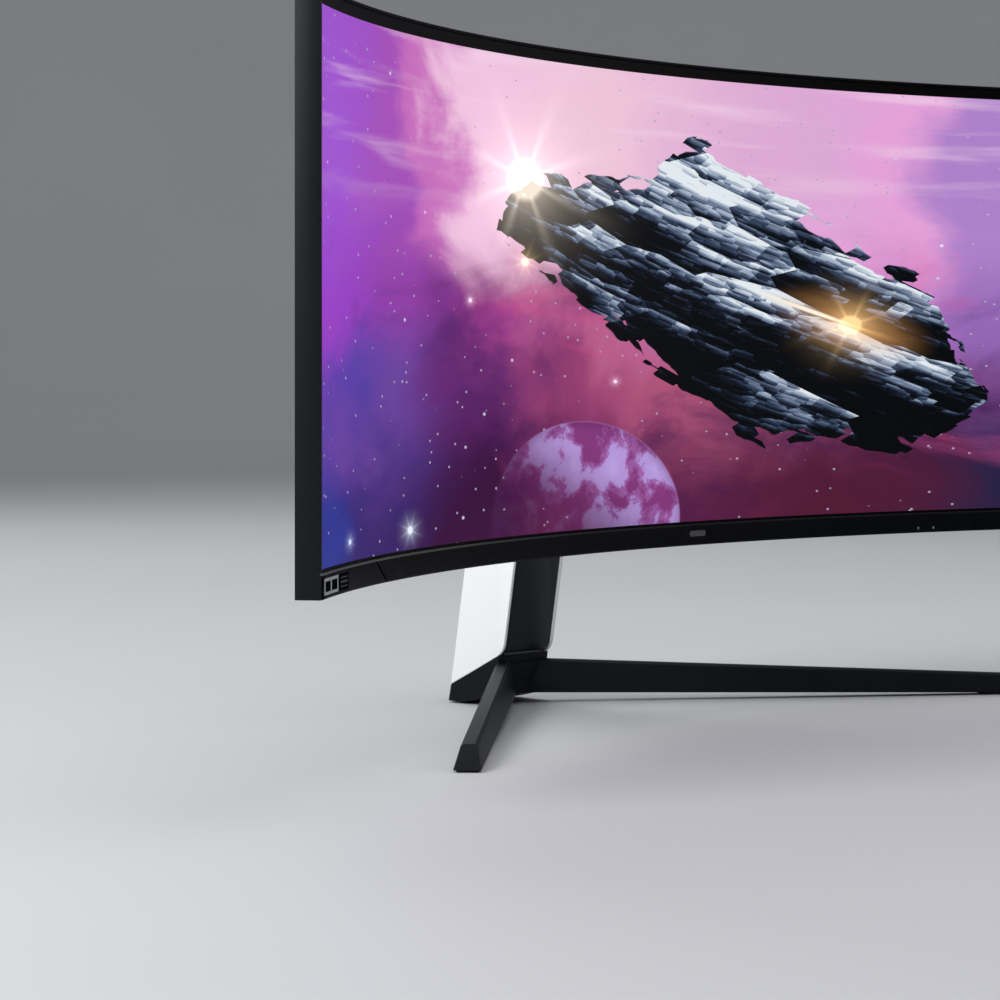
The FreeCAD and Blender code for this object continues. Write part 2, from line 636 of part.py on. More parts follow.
def joystick():
    """Five-way joystick: the knob rocks in a gimbal ring, and the ring's cradle is pressed up."""
    centre = V(0, STICK_Y, STICK_Z)
    side = V(1, 0, 0)
    back = V(0, 1, 0)
    hole_r = STICK_PIN_R + RUNNING_GAP

    def upright(z0, z1, radius):
        return rod(centre + Z_AXIS * z0, centre + Z_AXIS * z1, radius)

    cap = upright(-STICK_CAP_DROP[0], -STICK_CAP_DROP[1], STICK_CAP_R)
    knob = cap.makeChamfer(0.8, [e for e in cap.Edges if len(e.Vertexes) == 1])
    knob = knob.fuse(upright(-STICK_CAP_DROP[1] - 0.5, 1.5, STICK_STEM_R))
    knob = knob.fuse(rod(centre - back * 4.4, centre + back * 4.4, STICK_PIN_R)).removeSplitter()

    ring = upright(-1.6, 1.6, STICK_RING_R[1]).cut(upright(-1.6, 1.6, STICK_RING_R[0]))
    ring = ring.cut(rod(centre - back * 9, centre + back * 9, hole_r))
    for sign in (-1, 1):
        ring = ring.fuse(rod(centre + side * sign * 4.3, centre + side * sign * 6.8, STICK_PIN_R))

    cradle = upright(-2.0, 2.6, STICK_CRADLE_R[1]).cut(upright(-2.0, 2.6, STICK_CRADLE_R[0]))
    cradle = cradle.cut(rod(centre - side * 12, centre + side * 12, hole_r))
    board_z = STICK_Z + 6.4
    board = box((-12, 12), (STICK_Y - 9, STICK_Y + 9), (board_z, board_z + 1.4))
    posts = [rod(V(x, y, STICK_FLOOR_Z + WALL + 0.05), V(x, y, board_z), 1.2)
             for x in (-7.5, 7.5) for y in (STICK_Y - 5.5, STICK_Y + 5.5)]
    return {
        "joystick_knob": knob,
        "joystick_gimbal_ring": ring.removeSplitter(),
        "joystick_cradle": cradle,
        "joystick_board": fused([board] + posts),
    }


# ---------------------------------------------------------------- head: tilt, swivel, lift

def x_rod(x0, x1, radius):
    """Round bar along the tilt axis."""
    return rod(V(x0, TILT_Y, HEAD_Z), V(x1, TILT_Y, HEAD_Z), radius)


def tilt_parts():
    plate = plate_with_corners(BRACKET_HALF, 14.0, PLATE_Y0, PLATE_Y1, HEAD_Z)
    screws = []
    for x, z in square_of_four(VESA, HEAD_Z):
        plate = plate.cut(y_rod(x, z, PLATE_Y0 - 1, PLATE_Y1 + 1, BRACKET_SCREW_R + 0.4))
        head = y_rod(x, z, PLATE_Y1, PLATE_Y1 + BRACKET_HEAD_THICK, BRACKET_HEAD_R)
        slot_y = (PLATE_Y1 + BRACKET_HEAD_THICK - 1.2, PLATE_Y1 + BRACKET_HEAD_THICK + 0.4)
        slot = box((x - 0.6, x + 0.6), slot_y, (z - 2.6, z + 2.6))
        cross = box((x - 2.6, x + 2.6), slot_y, (z - 0.6, z + 0.6))
        shank = y_rod(x, z, PLATE_Y0 - 13, PLATE_Y1, BRACKET_SCREW_R)
        screws.append(head.cut(slot).cut(cross).fuse(shank))

    bracket = box((-EAR_X[1], EAR_X[1]), (PLATE_Y1, PLATE_Y1 + 3), (HEAD_Z - 26, HEAD_Z + 26))
    for side in (-1, 1):
        x = sorted((side * EAR_X[0], side * EAR_X[1]))
        cheek = side_prism([(PLATE_Y1, HEAD_Z - 22), (TILT_Y, HEAD_Z - EAR_R),
                            (TILT_Y, HEAD_Z + EAR_R), (PLATE_Y1, HEAD_Z + 22)], x[0], x[1])
        bracket = bracket.fuse(cheek).fuse(x_rod(x[0], x[1], EAR_R))
    bracket = bracket.cut(x_rod(-40, 40, TILT_SHAFT_R + RUNNING_GAP)).removeSplitter()

    face = V(0, PLATE_Y1, HEAD_Z)
    inner_r = SHROUD_R - SHROUD_WALL
    shroud = tube(face, face + V(0, SHROUD_REACH, 0), SHROUD_R, inner_r)
    lip = tube(face, face + V(0, 2, 0), SHROUD_R + 5, inner_r)
    shroud = shroud.fuse(lip).removeSplitter()

    shaft = fused([x_rod(-SHAFT_HALF, SHAFT_HALF, TILT_SHAFT_R),
                   x_rod(-SHAFT_HALF, -SHAFT_HEAD_X, SHAFT_HEAD_R),
                   x_rod(SHAFT_HEAD_X, SHAFT_HALF, SHAFT_HEAD_R)])
    washers = []
    for side in (-1, 1):
        for inner, outer in WASHER_X:
            x = sorted((side * inner, side * outer))
            hole = x_rod(x[0], x[1], TILT_SHAFT_R + RUNNING_GAP)
            washers.append(x_rod(x[0], x[1], WASHER_R).cut(hole))
    return {
        "bracket_plate": plate,
        "bracket_screws": group(screws),
        "tilt_bracket": bracket,
        "hinge_shroud": shroud,
        "tilt_shaft": shaft,
        "friction_washers": group(washers),
    }


def swivel_rod(z0, z1, radius):
    """Round bar along the swivel axis."""
    return rod(V(0, SWIVEL_Y, z0), V(0, SWIVEL_Y, z1), radius)


def swivel_parts():
    low = BOSS_Z[0] - LUG_GAP - LUG_THICK
    high = BOSS_Z[1] + LUG_GAP + LUG_THICK
    web_y = (TILT_Y + 4, SWIVEL_Y - BOSS_R - 1.5)
    yoke = x_rod(-BARREL_HALF, BARREL_HALF, BARREL_R)
    yoke = yoke.fuse(box((-BOSS_R, BOSS_R), web_y, (low, high)))
    for z0 in (low, BOSS_Z[1] + LUG_GAP):
        tongue = box((-BOSS_R, BOSS_R), (web_y[0], SWIVEL_Y), (z0, z0 + LUG_THICK))
        yoke = yoke.fuse(tongue).fuse(swivel_rod(z0, z0 + LUG_THICK, BOSS_R))
    yoke = yoke.cut(x_rod(-40, 40, TILT_SHAFT_R)).cut(swivel_rod(low - 1, high + 1, PIN_R))
    pin = swivel_rod(low - 2.0, high + 0.2, PIN_R).fuse(swivel_rod(high + 0.2, high + 3.0, PIN_R + 2.5))
    bush = swivel_rod(BOSS_Z[0] + 0.5, BOSS_Z[1] - 0.5, BUSH_R).cut(
        swivel_rod(BOSS_Z[0], BOSS_Z[1], PIN_R + RUNNING_GAP))

    carriage = neck_prism((-CARRIAGE_HALF, CARRIAGE_HALF), CARRIAGE_BEHIND, CARRIAGE_Z)
    nose_end = neck_y(HEAD_Z) + CARRIAGE_BEHIND[0] + 6
    carriage = carriage.fuse(box((-NOSE_HALF, NOSE_HALF), (SWIVEL_Y, nose_end), BOSS_Z))
    carriage = carriage.fuse(swivel_rod(BOSS_Z[0], BOSS_Z[1], BOSS_R))
    carriage = carriage.cut(swivel_rod(BOSS_Z[0] - 1, BOSS_Z[1] + 1, BUSH_R))
    coil_z = 0.5 * (CARRIAGE_Z[0] + CARRIAGE_Z[1])
    coil_y = neck_y(coil_z) + COIL_BEHIND
    pocket = box((-9.5, 9.5), (coil_y - 9.5, coil_y + 30), (coil_z - 10, coil_z + 10))
    carriage = carriage.cut(pocket)
    coil = tube(V(-COIL_HALF, coil_y, coil_z), V(COIL_HALF, coil_y, coil_z), COIL_R, AXLE_R + 0.1)
    axle = rod(V(-10, coil_y, coil_z), V(10, coil_y, coil_z), AXLE_R)
    carriage = carriage.fuse(axle).removeSplitter()

    shoes = []
    for side in (-1, 1):
        x = sorted((side * CARRIAGE_HALF, side * SHOE_X))
        for z0 in (CARRIAGE_Z[0] + 3, CARRIAGE_Z[1] - SHOE_HEIGHT - 3):
            shoes.append(neck_prism(x, (16.0, 36.0), (z0, z0 + SHOE_HEIGHT)))
    strip = neck_prism((-STRIP_HALF, STRIP_HALF), STRIP_BEHIND, (coil_z, STRIP_TOP_Z))
    return {
        "swivel_yoke": yoke.removeSplitter(),
        "swivel_pin": pin.removeSplitter(),
        "swivel_bush": bush,
        "lift_carriage": carriage,
        "glide_shoes": group(shoes),
        "lift_spring_coil": coil,
        "lift_spring_strip": strip,
    }


# ---------------------------------------------------------------- stand

def hub_blank():
    """Hub before its top is sloped: an underside that lifts at the front, and flared sides."""
    top = HUB_SLOPE_FRONT_Z + 20
    outline = [(neck_y(HUB_BELLY_Z), HUB_BELLY_Z), (neck_y(top), top), (HUB_REAR_Y, top),
               (HUB_REAR_Y, FOOT_THICK + 1.0), (HUB_REAR_Y - 2, FOOT_THICK),
               (HUB_REAR_Y - 20, FOOT_THICK)]
    narrow = NECK_HALF_WIDTH - 0.4
    wall = [(HUB_BASE_HALF, FOOT_THICK), (narrow, HUB_FLARE_Z), (narrow, top)]
    loop = wall + [(-x, z) for x, z in reversed(wall)]
    across = prism([V(x, 100, z) for x, z in loop], V(0, 120, 0))
    return side_prism(outline, -HUB_BASE_HALF, HUB_BASE_HALF).common(across).removeSplitter()


def below_slope(rise):
    """Everything below the hub's sloping top, moved up by rise."""
    front_y = neck_y(HUB_SLOPE_FRONT_Z)
    slope = (HUB_SLOPE_REAR[1] - HUB_SLOPE_FRONT_Z) / (HUB_SLOPE_REAR[0] - front_y)
    spare = 40.0
    y0 = front_y - spare
    y1 = HUB_SLOPE_REAR[0] + spare
    z0 = HUB_SLOPE_FRONT_Z - spare * slope + rise
    z1 = z0 + (y1 - y0) * slope
    return side_prism([(y0, -50), (y1, -50), (y1, z1), (y0, z0)], -60, 60)


def leg_axes():
    """Root point of the right leg's centre line, its direction and the direction across it."""
    angle = math.radians(LEG_ANGLE)
    along = V(math.sin(angle), -math.cos(angle), 0)
    across = V(math.cos(angle), math.sin(angle), 0)
    return V(LEG_ROOT[0], LEG_ROOT[1], 0), along, across


def leg_right_solid(blank):
    """Tapered beam with a bevelled top and a slanted end, let into the hub's front."""
    root, along, across = leg_axes()

    def height(at, root_z, tip_z):
        return root_z + (tip_z - root_z) * at / LEG_LENGTH

    def section(at):
        top = height(at, LEG_TOP_ROOT, LEG_TOP_TIP)
        base = height(at, LEG_BASE_ROOT, FOOT_THICK)
        half = [(LEG_BASE_HALF, base), (LEG_BASE_HALF, base + 1.0),
                (LEG_TOP_HALF + 0.45, top - LEG_EDGE), (LEG_TOP_HALF - LEG_EDGE, top)]
        loop = half + [(-w, z) for w, z in reversed(half)]
        return closed_wire([root + along * at + across * w + V(0, 0, z) for w, z in loop])

    beam = Part.makeLoft([section(-LEG_OVERLAP), section(LEG_LENGTH)], True, True)
    tip = root + along * LEG_LENGTH
    back = tip - along * LEG_END_SLANT
    beyond = tip + along * 30
    up = V(0, 0, 60)
    sole = V(0, 0, FOOT_THICK)
    outline = [tip + sole, back + V(0, 0, LEG_TOP_TIP + 1), tip + up, beyond + up, beyond + sole]
    wedge = prism([p - across * 30 for p in outline], across * 60)
    return beam.cut(wedge).cut(blank)


def foot_pad(at_from, at_to, half):
    """Rubber pad under the right leg."""
    root, along, across = leg_axes()
    low = [root + along * a + across * w for a, w in
           ((at_from, -half), (at_to, -half), (at_to, half), (at_from, half))]
    return prism(low, V(0, 0, FOOT_THICK))


def rounded_foot(bar, radius):
    """Rounds the lower front edge of a leaning bar that stands on the hub's slope."""
    lowest = [e for e in bar.Edges if abs(e.tangentAt(0).x) > 0.9
              and e.CenterOfMass.y < neck_y(60) + 12 and e.CenterOfMass.z < 80]
    return bar.makeFillet(radius, lowest)


def neck_covers():
    low = HUB_SLOPE_REAR[1] - 4
    high = NECK_TOP_Z - 4.2
    seam = 0.3
    rear_behind = (NECK_DEPTH - COVER_THICK - 0.4, NECK_DEPTH - 0.4)
    plate = neck_prism((NECK_HALF_WIDTH - PLATE_THICK, NECK_HALF_WIDTH), (-PLATE_PROUD, NECK_DEPTH),
                       (low, high))
    plate = rounded_foot(plate.cut(below_slope(seam)), PLATE_FOOT_R)
    front = neck_prism((-COVER_HALF, COVER_HALF), (0, 30), (low, high)).cut(below_slope(seam))
    front = rounded_foot(front, PLATE_FOOT_R - PLATE_PROUD)
    front = front.common(neck_prism((-COVER_HALF, COVER_HALF), (0, COVER_THICK), (low, high)))
    front = front.cut(neck_prism((-9.6, 9.6), (-1, 4), (214, NECK_TOP_Z)))
    rear = neck_prism((-COVER_HALF, COVER_HALF), rear_behind, (low, high)).cut(below_slope(seam))
    rib = neck_prism((23.0, 25.0), (rear_behind[0] - 2.6, rear_behind[0]), (60, high - 8))
    cap = neck_prism((-NECK_HALF_WIDTH, NECK_HALF_WIDTH), (-PLATE_PROUD, NECK_DEPTH),
                     (high + 0.2, NECK_TOP_Z))
    return {
        "neck_front_cover": front,
        "neck_side_plate_right": plate,
        "neck_side_plate_left": mirrored(plate),
        "neck_rear_cover": fused([rear, rib, mirrored(rib)]),
        "neck_top_cap": cap,
    }


def stand():
    blank = hub_blank()
    hub = blank.common(below_slope(0))
    rear_corners = [e for e in hub.Edges if e.CenterOfMass.y > HUB_REAR_Y - 0.5
                    and abs(e.tangentAt(0).z) > 0.9]
    hub = hub.makeFillet(6.0, rear_corners)
    ledge = neck_prism((-HUB_BASE_HALF, HUB_BASE_HALF), (-5, HUB_LEDGE_DEPTH), (HUB_LEDGE_Z, 70))
    column_socket = neck_prism((-COLUMN_HALF - SOCKET_GAP, COLUMN_HALF + SOCKET_GAP),
                               (COLUMN_BEHIND[0] - SOCKET_GAP, COLUMN_BEHIND[1] + SOCKET_GAP),
                               (COLUMN_FOOT_Z - SOCKET_GAP, 70))
    cover_z = FOOT_THICK + 2.4
    hub = hub.cut(ledge).cut(column_socket).cut(box((-20, 20), (150, 196), (-1, cover_z)))

    inner_half = COLUMN_HALF - COLUMN_WALL
    column = neck_prism((-COLUMN_HALF, COLUMN_HALF), COLUMN_BEHIND, (COLUMN_FOOT_Z, COLUMN_TOP_Z))
    column = column.cut(neck_prism((-inner_half, inner_half),
                                   (COLUMN_BEHIND[0] + COLUMN_WALL, COLUMN_BEHIND[1] - COLUMN_WALL),
                                   (COLUMN_FOOT_Z + COLUMN_WALL, NECK_TOP_Z)))
    column = column.cut(neck_prism((-COLUMN_SLOT_HALF, COLUMN_SLOT_HALF), (4, 9), (60, NECK_TOP_Z)))

    # The two screws that clamp the column to the hub, with their heads sunk from below, and the
    # bolt that holds each leg
    bolts = []
    for x in (CLAMP_SCREW_X, -CLAMP_SCREW_X):
        def upright(z0, z1, radius):
            return rod(V(x, CLAMP_SCREW_Y, z0), V(x, CLAMP_SCREW_Y, z1), radius)

        hub = hub.cut(upright(-1, 13, CLAMP_SCREW_R + 0.6))
        hub = hub.cut(upright(-1, 8, CLAMP_HEAD_R + 0.6))
        column = column.cut(upright(5, 30, CLAMP_SCREW_R + 0.1))
        head = upright(CLAMP_HEAD_Z[0], CLAMP_HEAD_Z[1], CLAMP_HEAD_R)
        bolts.append(upright(CLAMP_HEAD_Z[1], CLAMP_SCREW_TOP_Z, CLAMP_SCREW_R).fuse(head))
    leg_bolt = rod(V(24.6, 156.2, LEG_BOLT_Z), V(40.0, 143.6, LEG_BOLT_Z), LEG_BOLT_R)
    leg_bolts = [leg_bolt, mirrored(leg_bolt)]
    leg_right = leg_right_solid(blank).cut(leg_bolt)

    tip_pad = foot_pad(LEG_LENGTH - 40, LEG_LENGTH - 4, 7.5)
    rear_pad = box((-22, 22), (HUB_REAR_Y - 6.5, HUB_REAR_Y - 2.5), (0, FOOT_THICK))
    bottom_cover = box((-19.7, 19.7), (178.0, 195.7), (FOOT_THICK + 0.6, cover_z - 0.1))
    nodes = {
        "hub": hub.cut(group(leg_bolts)),
        "leg_right": leg_right,
        "leg_left": mirrored(leg_right),
        "stand_bolts": group(leg_bolts + bolts),
        "rubber_feet": group([tip_pad, mirrored(tip_pad), rear_pad]),
        "column": column,
        "hub_bottom_cover": bottom_cover,
    }
    nodes.update(neck_covers())
    return nodes


# ---------------------------------------------------------------- export

def main():
    nodes = {}
    for make in (display_stack, frame_pieces, rear_covers, ports, boards, joystick, tilt_parts,
                 swivel_parts, stand):
        nodes.update(make())
    os.makedirs("parts", exist_ok=True)
    for name, shape in nodes.items():
        shape.exportStep(f"parts/{name}.step")
        print(f"{name:26s} solids {len(shape.Solids):2d}  volume {shape.Volume / 1000:9.2f} cm3"
              f"  valid {shape.isValid()}")
    print(len(nodes), "nodes")


main()
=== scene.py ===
import json
import math

import bmesh
import bpy
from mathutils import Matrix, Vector

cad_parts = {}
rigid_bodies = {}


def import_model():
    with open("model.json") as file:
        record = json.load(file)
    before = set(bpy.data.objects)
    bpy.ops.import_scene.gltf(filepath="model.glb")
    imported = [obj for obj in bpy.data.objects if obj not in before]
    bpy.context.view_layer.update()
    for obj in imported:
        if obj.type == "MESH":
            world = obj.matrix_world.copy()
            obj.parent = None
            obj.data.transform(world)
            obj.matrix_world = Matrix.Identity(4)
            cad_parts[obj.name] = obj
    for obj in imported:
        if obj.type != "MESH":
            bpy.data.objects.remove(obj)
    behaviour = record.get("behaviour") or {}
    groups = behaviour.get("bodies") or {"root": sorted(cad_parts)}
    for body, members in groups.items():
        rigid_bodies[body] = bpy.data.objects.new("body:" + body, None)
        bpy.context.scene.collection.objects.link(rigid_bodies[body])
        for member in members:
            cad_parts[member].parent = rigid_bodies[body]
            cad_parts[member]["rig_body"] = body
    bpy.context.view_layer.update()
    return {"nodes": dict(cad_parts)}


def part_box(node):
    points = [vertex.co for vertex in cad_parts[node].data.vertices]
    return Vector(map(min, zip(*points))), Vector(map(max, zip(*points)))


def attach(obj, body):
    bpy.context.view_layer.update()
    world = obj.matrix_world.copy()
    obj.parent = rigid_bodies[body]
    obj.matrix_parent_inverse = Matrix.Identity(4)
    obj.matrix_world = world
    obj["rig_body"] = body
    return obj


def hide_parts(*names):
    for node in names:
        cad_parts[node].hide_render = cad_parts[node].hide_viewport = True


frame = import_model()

# ---------------------------------------------------------------- sizes, in metres

GLASS_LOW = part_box("lcd_panel")[0]
CURVE_R = 1.0                   # radius of the screen's front surface
FRONT_MID_Y = -0.0265           # screen surface at its middle
CURVE_Y = FRONT_MID_Y - CURVE_R

# The lit picture: half its width along the arc, the dark border under it, and its height
LIT_HALF = 0.596
LIT_BORDER = 0.006
LIT_HEIGHT = 0.3352
LIT_LOW = GLASS_LOW.z + LIT_BORDER
LIT_HIGH = LIT_LOW + LIT_HEIGHT
LIT_SKIN = (0.0004, 0.0006)     # depths behind the front surface between which the light fades out
PICTURE_STRETCH = 1.75          # how far the picture is stretched sideways to fill the screen
PICTURE_POWER = 0.96

# Blank badges at the chin's left end, as places along the arc and heights
BADGE_SPLIT = (-0.5600, -0.5604)
BADGE_PANELS = ((-0.5975, -0.5825), (-0.5795, -0.5645))
BADGE_PANEL_HEIGHTS = (0.1378, 0.1441)
BADGE_BARS = (-0.5560, -0.5390)
BADGE_BAR_HEIGHTS = ((0.1432, 0.1440), (0.1402, 0.1417), (0.1378, 0.1386))

# Satin line over the chin: its front and back, as depths behind the screen's surface, how far it
# reaches under and over the chin's top edge, half its length, the width of its softened edges, its
# segments, and the places between which its painted highlight grows paler towards the left end
TRIM_DEPTHS = (-0.0023, -0.0003)
TRIM_UNDER = 0.0004
TRIM_OVER = 0.0010
TRIM_HALF_ARC = 0.60335
TRIM_EDGE = 0.00025
TRIM_SEGMENTS = 120
TRIM_HIGHLIGHT_FADE = (-0.12, -0.42)

# Rounding of the CAD nodes: radius, segments and the nodes that get them
ROUNDING = (
    (0.00015, 1, ("lcd_panel",)),
    (0.0004, 2, ("frame_top", "frame_left", "frame_right")),
    (0.00035, 2, ("chin_bezel", "chin_corner_left", "chin_corner_right")),
    (0.0008, 2, ("rear_cover_centre", "rear_cover_left", "rear_cover_right")),
    (0.0007, 3, ("neck_side_plate_left", "neck_side_plate_right", "neck_rear_cover")),
    (0.0005, 2, ("neck_front_cover",)),
    (0.0010, 3, ("neck_top_cap",)),
    (0.0009, 3, ("hub", "leg_left", "leg_right")),
    (0.0003, 2, ("rubber_feet", "bracket_plate", "tilt_bracket", "swivel_yoke", "hinge_shroud",
                 "lift_carriage", "port_plate", "power_inlet", "light_ring", "joystick_knob")),
)
ROUND_ABOVE = math.radians(28)      # edges sharper than this are rounded
SMOOTH_BELOW = math.radians(32)     # edges blunter than this are shaded smooth
FLAT_BELOW = math.radians(0.4)      # facets that differ by less than this become one face
WELD = 1e-6                         # corners closer than this become one

# Floor that bends up into a wall all round
FLOOR_RADII = (1.5, 5.0)
BEND_R = 2.5
WALL_TOP = 3.4
BEND_RINGS = 14
FLOOR_SECTORS = 96

# Area lights: name, place, target, size and power in watts
LIGHTS = (("key", (-2.9, 0.1, 1.7), (0, 0.1, 0.2), 1.5, 78),
          ("fill", (2.4, -1.4, 1.6), (0, 0, 0.25), 2.0, 18),
          ("rim", (0.6, 2.6, 2.2), (0, 0, 0.3), 1.8, 32),
          ("top", (0.2, -0.4, 3.0), (0, 0, 0.2), 2.4, 30))
SKY = (0.80, 0.82, 0.86, 1)
SKY_POWER = 0.42

CAMERA_PLACE = (-1.8876, -1.5667, 0.2823)
CAMERA_TURN = math.radians(-47.84)
CAMERA_LENS = 115.55            # in millimetres, as is the sensor's width
CAMERA_SENSOR = 36.0
CAMERA_SHIFT = (-0.0308, -0.1516)
CAMERA_REACH = 50.0


# ---------------------------------------------------------------- shader building

class Shader:
    """One procedural material. Each method adds a node and returns its output."""

    def __init__(self, name):
        self.material = bpy.data.materials.new(name)
        self.material.use_nodes = True
        self.tree = self.material.node_tree
        self.bsdf = self.tree.nodes["Principled BSDF"]
        self.place = self.node("ShaderNodeTexCoord").outputs["Object"]

    def node(self, kind, **settings):
        made = self.tree.nodes.new(kind)
        for key, value in settings.items():
            setattr(made, key, value)
        return made

    def feed(self, socket, value):
        """Links an output to the socket, or sets a plain value on it."""
        if isinstance(value, bpy.types.NodeSocket):
            self.tree.links.new(value, socket)
        else:
            socket.default_value = rgba(value) if socket.type == "RGBA" else value

    def set(self, **inputs):
        """Sets or links the shader's own sockets, such as Base_Color."""
        for key, value in inputs.items():
            self.feed(self.bsdf.inputs[key.replace("_", " ")], value)

    def math(self, operation, a, b=0.0, c=0.0):
        made = self.node("ShaderNodeMath", operation=operation)
        for socket, value in zip(made.inputs, (a, b, c)):
            self.feed(socket, value)
        return made.outputs[0]

    def add(self, a, b):
        return self.math("ADD", a, b)

    def sub(self, a, b):
        return self.math("SUBTRACT", a, b)

    def mul(self, a, b):
        return self.math("MULTIPLY", a, b)

    def inside(self, value, low, high, soft=0.0001):
        """1 between low and high, 0 outside them."""
        return self.mul(self.step(low - soft, low + soft, value),
                        self.step(high + soft, high - soft, value))

    def step(self, low, high, value):
        """0 below low, 1 above high, smooth between."""
        made = self.node("ShaderNodeMapRange", interpolation_type="SMOOTHSTEP")
        for key, item in (("Value", value), ("From Min", low), ("From Max", high)):
            self.feed(made.inputs[key], item)
        return made.outputs["Result"]

    def split(self, vector):
        made = self.node("ShaderNodeSeparateXYZ")
        self.feed(made.inputs[0], vector)
        return made.outputs

    def join(self, x, y, z=0.0):
        made = self.node("ShaderNodeCombineXYZ")
        for socket, value in zip(made.inputs, (x, y, z)):
            self.feed(socket, value)
        return made.outputs[0]

    def noise(self, scale, vector=None, detail=2.0, rough=0.5, warp=0.0):
        made = self.node("ShaderNodeTexNoise")
        self.feed(made.inputs["Vector"], vector or self.place)
        for key, value in (("Scale", scale), ("Detail", detail), ("Roughness", rough),
                           ("Distortion", warp)):
            self.feed(made.inputs[key], value)
        return made.outputs["Fac"]

    def cells(self, scale, vector=None, feature="F1", metric="EUCLIDEAN"):
        """Irregular cells, with their distance, colour and centre as outputs."""
        made = self.node("ShaderNodeTexVoronoi", feature=feature)
        if feature != "DISTANCE_TO_EDGE":
            made.distance = metric
        self.feed(made.inputs["Vector"], vector or self.place)
        self.feed(made.inputs["Scale"], scale)
        return made.outputs

    def stretch(self, scale, vector=None, turn=0.0, shift=(0, 0, 0)):
        """A place scaled, turned about the third axis and shifted."""
        made = self.node("ShaderNodeMapping")
        self.feed(made.inputs["Vector"], vector or self.place)
        made.inputs["Location"].default_value = shift
        made.inputs["Scale"].default_value = scale
        made.inputs["Rotation"].default_value = (0, 0, turn)
        return made.outputs[0]

    def mix(self, share, a, b, blend="MIX"):
        made = self.node("ShaderNodeMix", data_type="RGBA", blend_type=blend)
        self.feed(made.inputs["Factor"], share)
        self.feed(made.inputs["A"], rgba(a))
        self.feed(made.inputs["B"], rgba(b))
        return made.outputs["Result"]

    def ramp(self, value, *stops):
        """Colour by value, from (position, colour) stops."""
        made = self.node("ShaderNodeValToRGB")
        made.color_ramp.interpolation = "EASE"
        entries = made.color_ramp.elements
        while len(entries) < len(stops):
            entries.new(0.5)
        for entry, (position, colour) in zip(entries, stops):
            entry.position = position
            entry.color = rgba(colour)
        self.feed(made.inputs[0], value)
        return made.outputs["Color"]

    def profile(self, value, low, high, points):
        """Height by place along a line, from (place, height) corners between low and high."""
        made = self.node("ShaderNodeFloatCurve")
        corners = made.mapping.curves[0].points
        span = high - low
        while len(corners) < len(points):
            corners.new(0.5, 0.5)
        for corner, (place, height) in zip(corners, points):
            corner.location = ((place - low) / span, (height - low) / span)
            corner.handle_type = "VECTOR"
        made.mapping.update()
        self.feed(made.inputs["Value"], self.math("MULTIPLY_ADD", value, 1 / span, -low / span))
        return self.math("MULTIPLY_ADD", made.outputs[0], span, low)

    def bump(self, height, distance):
        """Fine relief, as deep as the distance."""
        made = self.node("ShaderNodeBump")
        self.feed(made.inputs["Height"], height)
        made.inputs["Distance"].default_value = distance
        made.inputs["Strength"].default_value = 1.0
        self.set(Normal=made.outputs[0])


def rgba(colour):
    """Colour with its alpha, from (r, g, b) or an output socket."""
    if isinstance(colour, bpy.types.NodeSocket) or len(colour) == 4:
        return colour
    return (*colour, 1.0)


def srgb(text):
    """Linear colour of a six-digit code."""
    values = [int(text[i:i + 2], 16) / 255 for i in (0, 2, 4)]
    return tuple(v / 12.92 if v <= 0.04045 else ((v + 0.055) / 1.055) ** 2.4 for v in values)


# ---------------------------------------------------------------- materials

def moulded(name, light, dark, rough, grain, depth, coat=0.0, specular=0.5):
    """Moulded plastic: fine spark-erosion grain, slow changes of tone and slightly uneven gloss."""
    s = Shader(name)
    drift = s.noise(9.0, detail=3.0)
    s.set(Base_Color=s.mix(drift, dark, light))
    smear = s.noise(55.0, detail=4.0, rough=0.6)
    s.set(Roughness=s.add(rough - 0.04, s.mul(smear, 0.08)))
    s.set(Specular_IOR_Level=specular, Coat_Weight=coat, Coat_Roughness=0.06)
    s.bump(s.noise(grain, detail=3.0, rough=0.65), depth)
    return s.material


def glossy_white(name, dark, light):
    """High-gloss white moulding with a faint ripple and light dust."""
    s = Shader(name)
    drift = s.noise(6.0, detail=2.0)
    s.set(Base_Color=s.mix(drift, dark, light))
    dust = s.step(0.66, 0.75, s.noise(420.0, detail=3.0, rough=0.7))
    s.set(Roughness=s.add(0.11, s.mul(dust, 0.16)))
    s.set(Coat_Weight=0.6, Coat_Roughness=0.04, Specular_IOR_Level=0.55)
    s.bump(s.noise(26.0, detail=1.0), 0.00012)
    return s.material


def cast_dark(name):
    """Dark fine-textured coat on a die casting, a little lighter where hands and dust reach."""
    s = Shader(name)
    speck = s.noise(1900.0, detail=2.0, rough=0.7)
    drift = s.noise(14.0, detail=3.0)
    base = s.mix(drift, srgb("0e1115"), srgb("16191e"))
    s.set(Base_Color=s.mix(s.step(0.60, 0.72, speck), base, srgb("24282d")))
    s.set(Metallic=0.05, Roughness=s.add(0.36, s.mul(speck, 0.22)), Specular_IOR_Level=0.09)
    s.bump(speck, 0.00012)
    return s.material


def brushed(name, tone, rough, scale=(30.0, 1500.0, 1500.0)):
    """Metal with fine lines along the axis of the smallest scale."""
    s = Shader(name)
    lines = s.noise(1.0, s.stretch(scale), detail=3.0)
    s.set(Base_Color=s.mix(lines, tuple(v * 0.8 for v in tone), tone))
    s.set(Metallic=1.0, Roughness=s.add(rough, s.mul(lines, 0.15)))
    s.bump(lines, 0.00003)
    return s.material


def rubber(name):
    """Matt black rubber with a coarse grain."""
    s = Shader(name)
    grain = s.noise(900.0, detail=4.0, rough=0.7)
    s.set(Base_Color=s.mix(grain, srgb("0d0d0e"), srgb("1b1b1c")))
    s.set(Roughness=s.add(0.68, s.mul(grain, 0.2)))
    s.bump(grain, 0.0002)
    return s.material


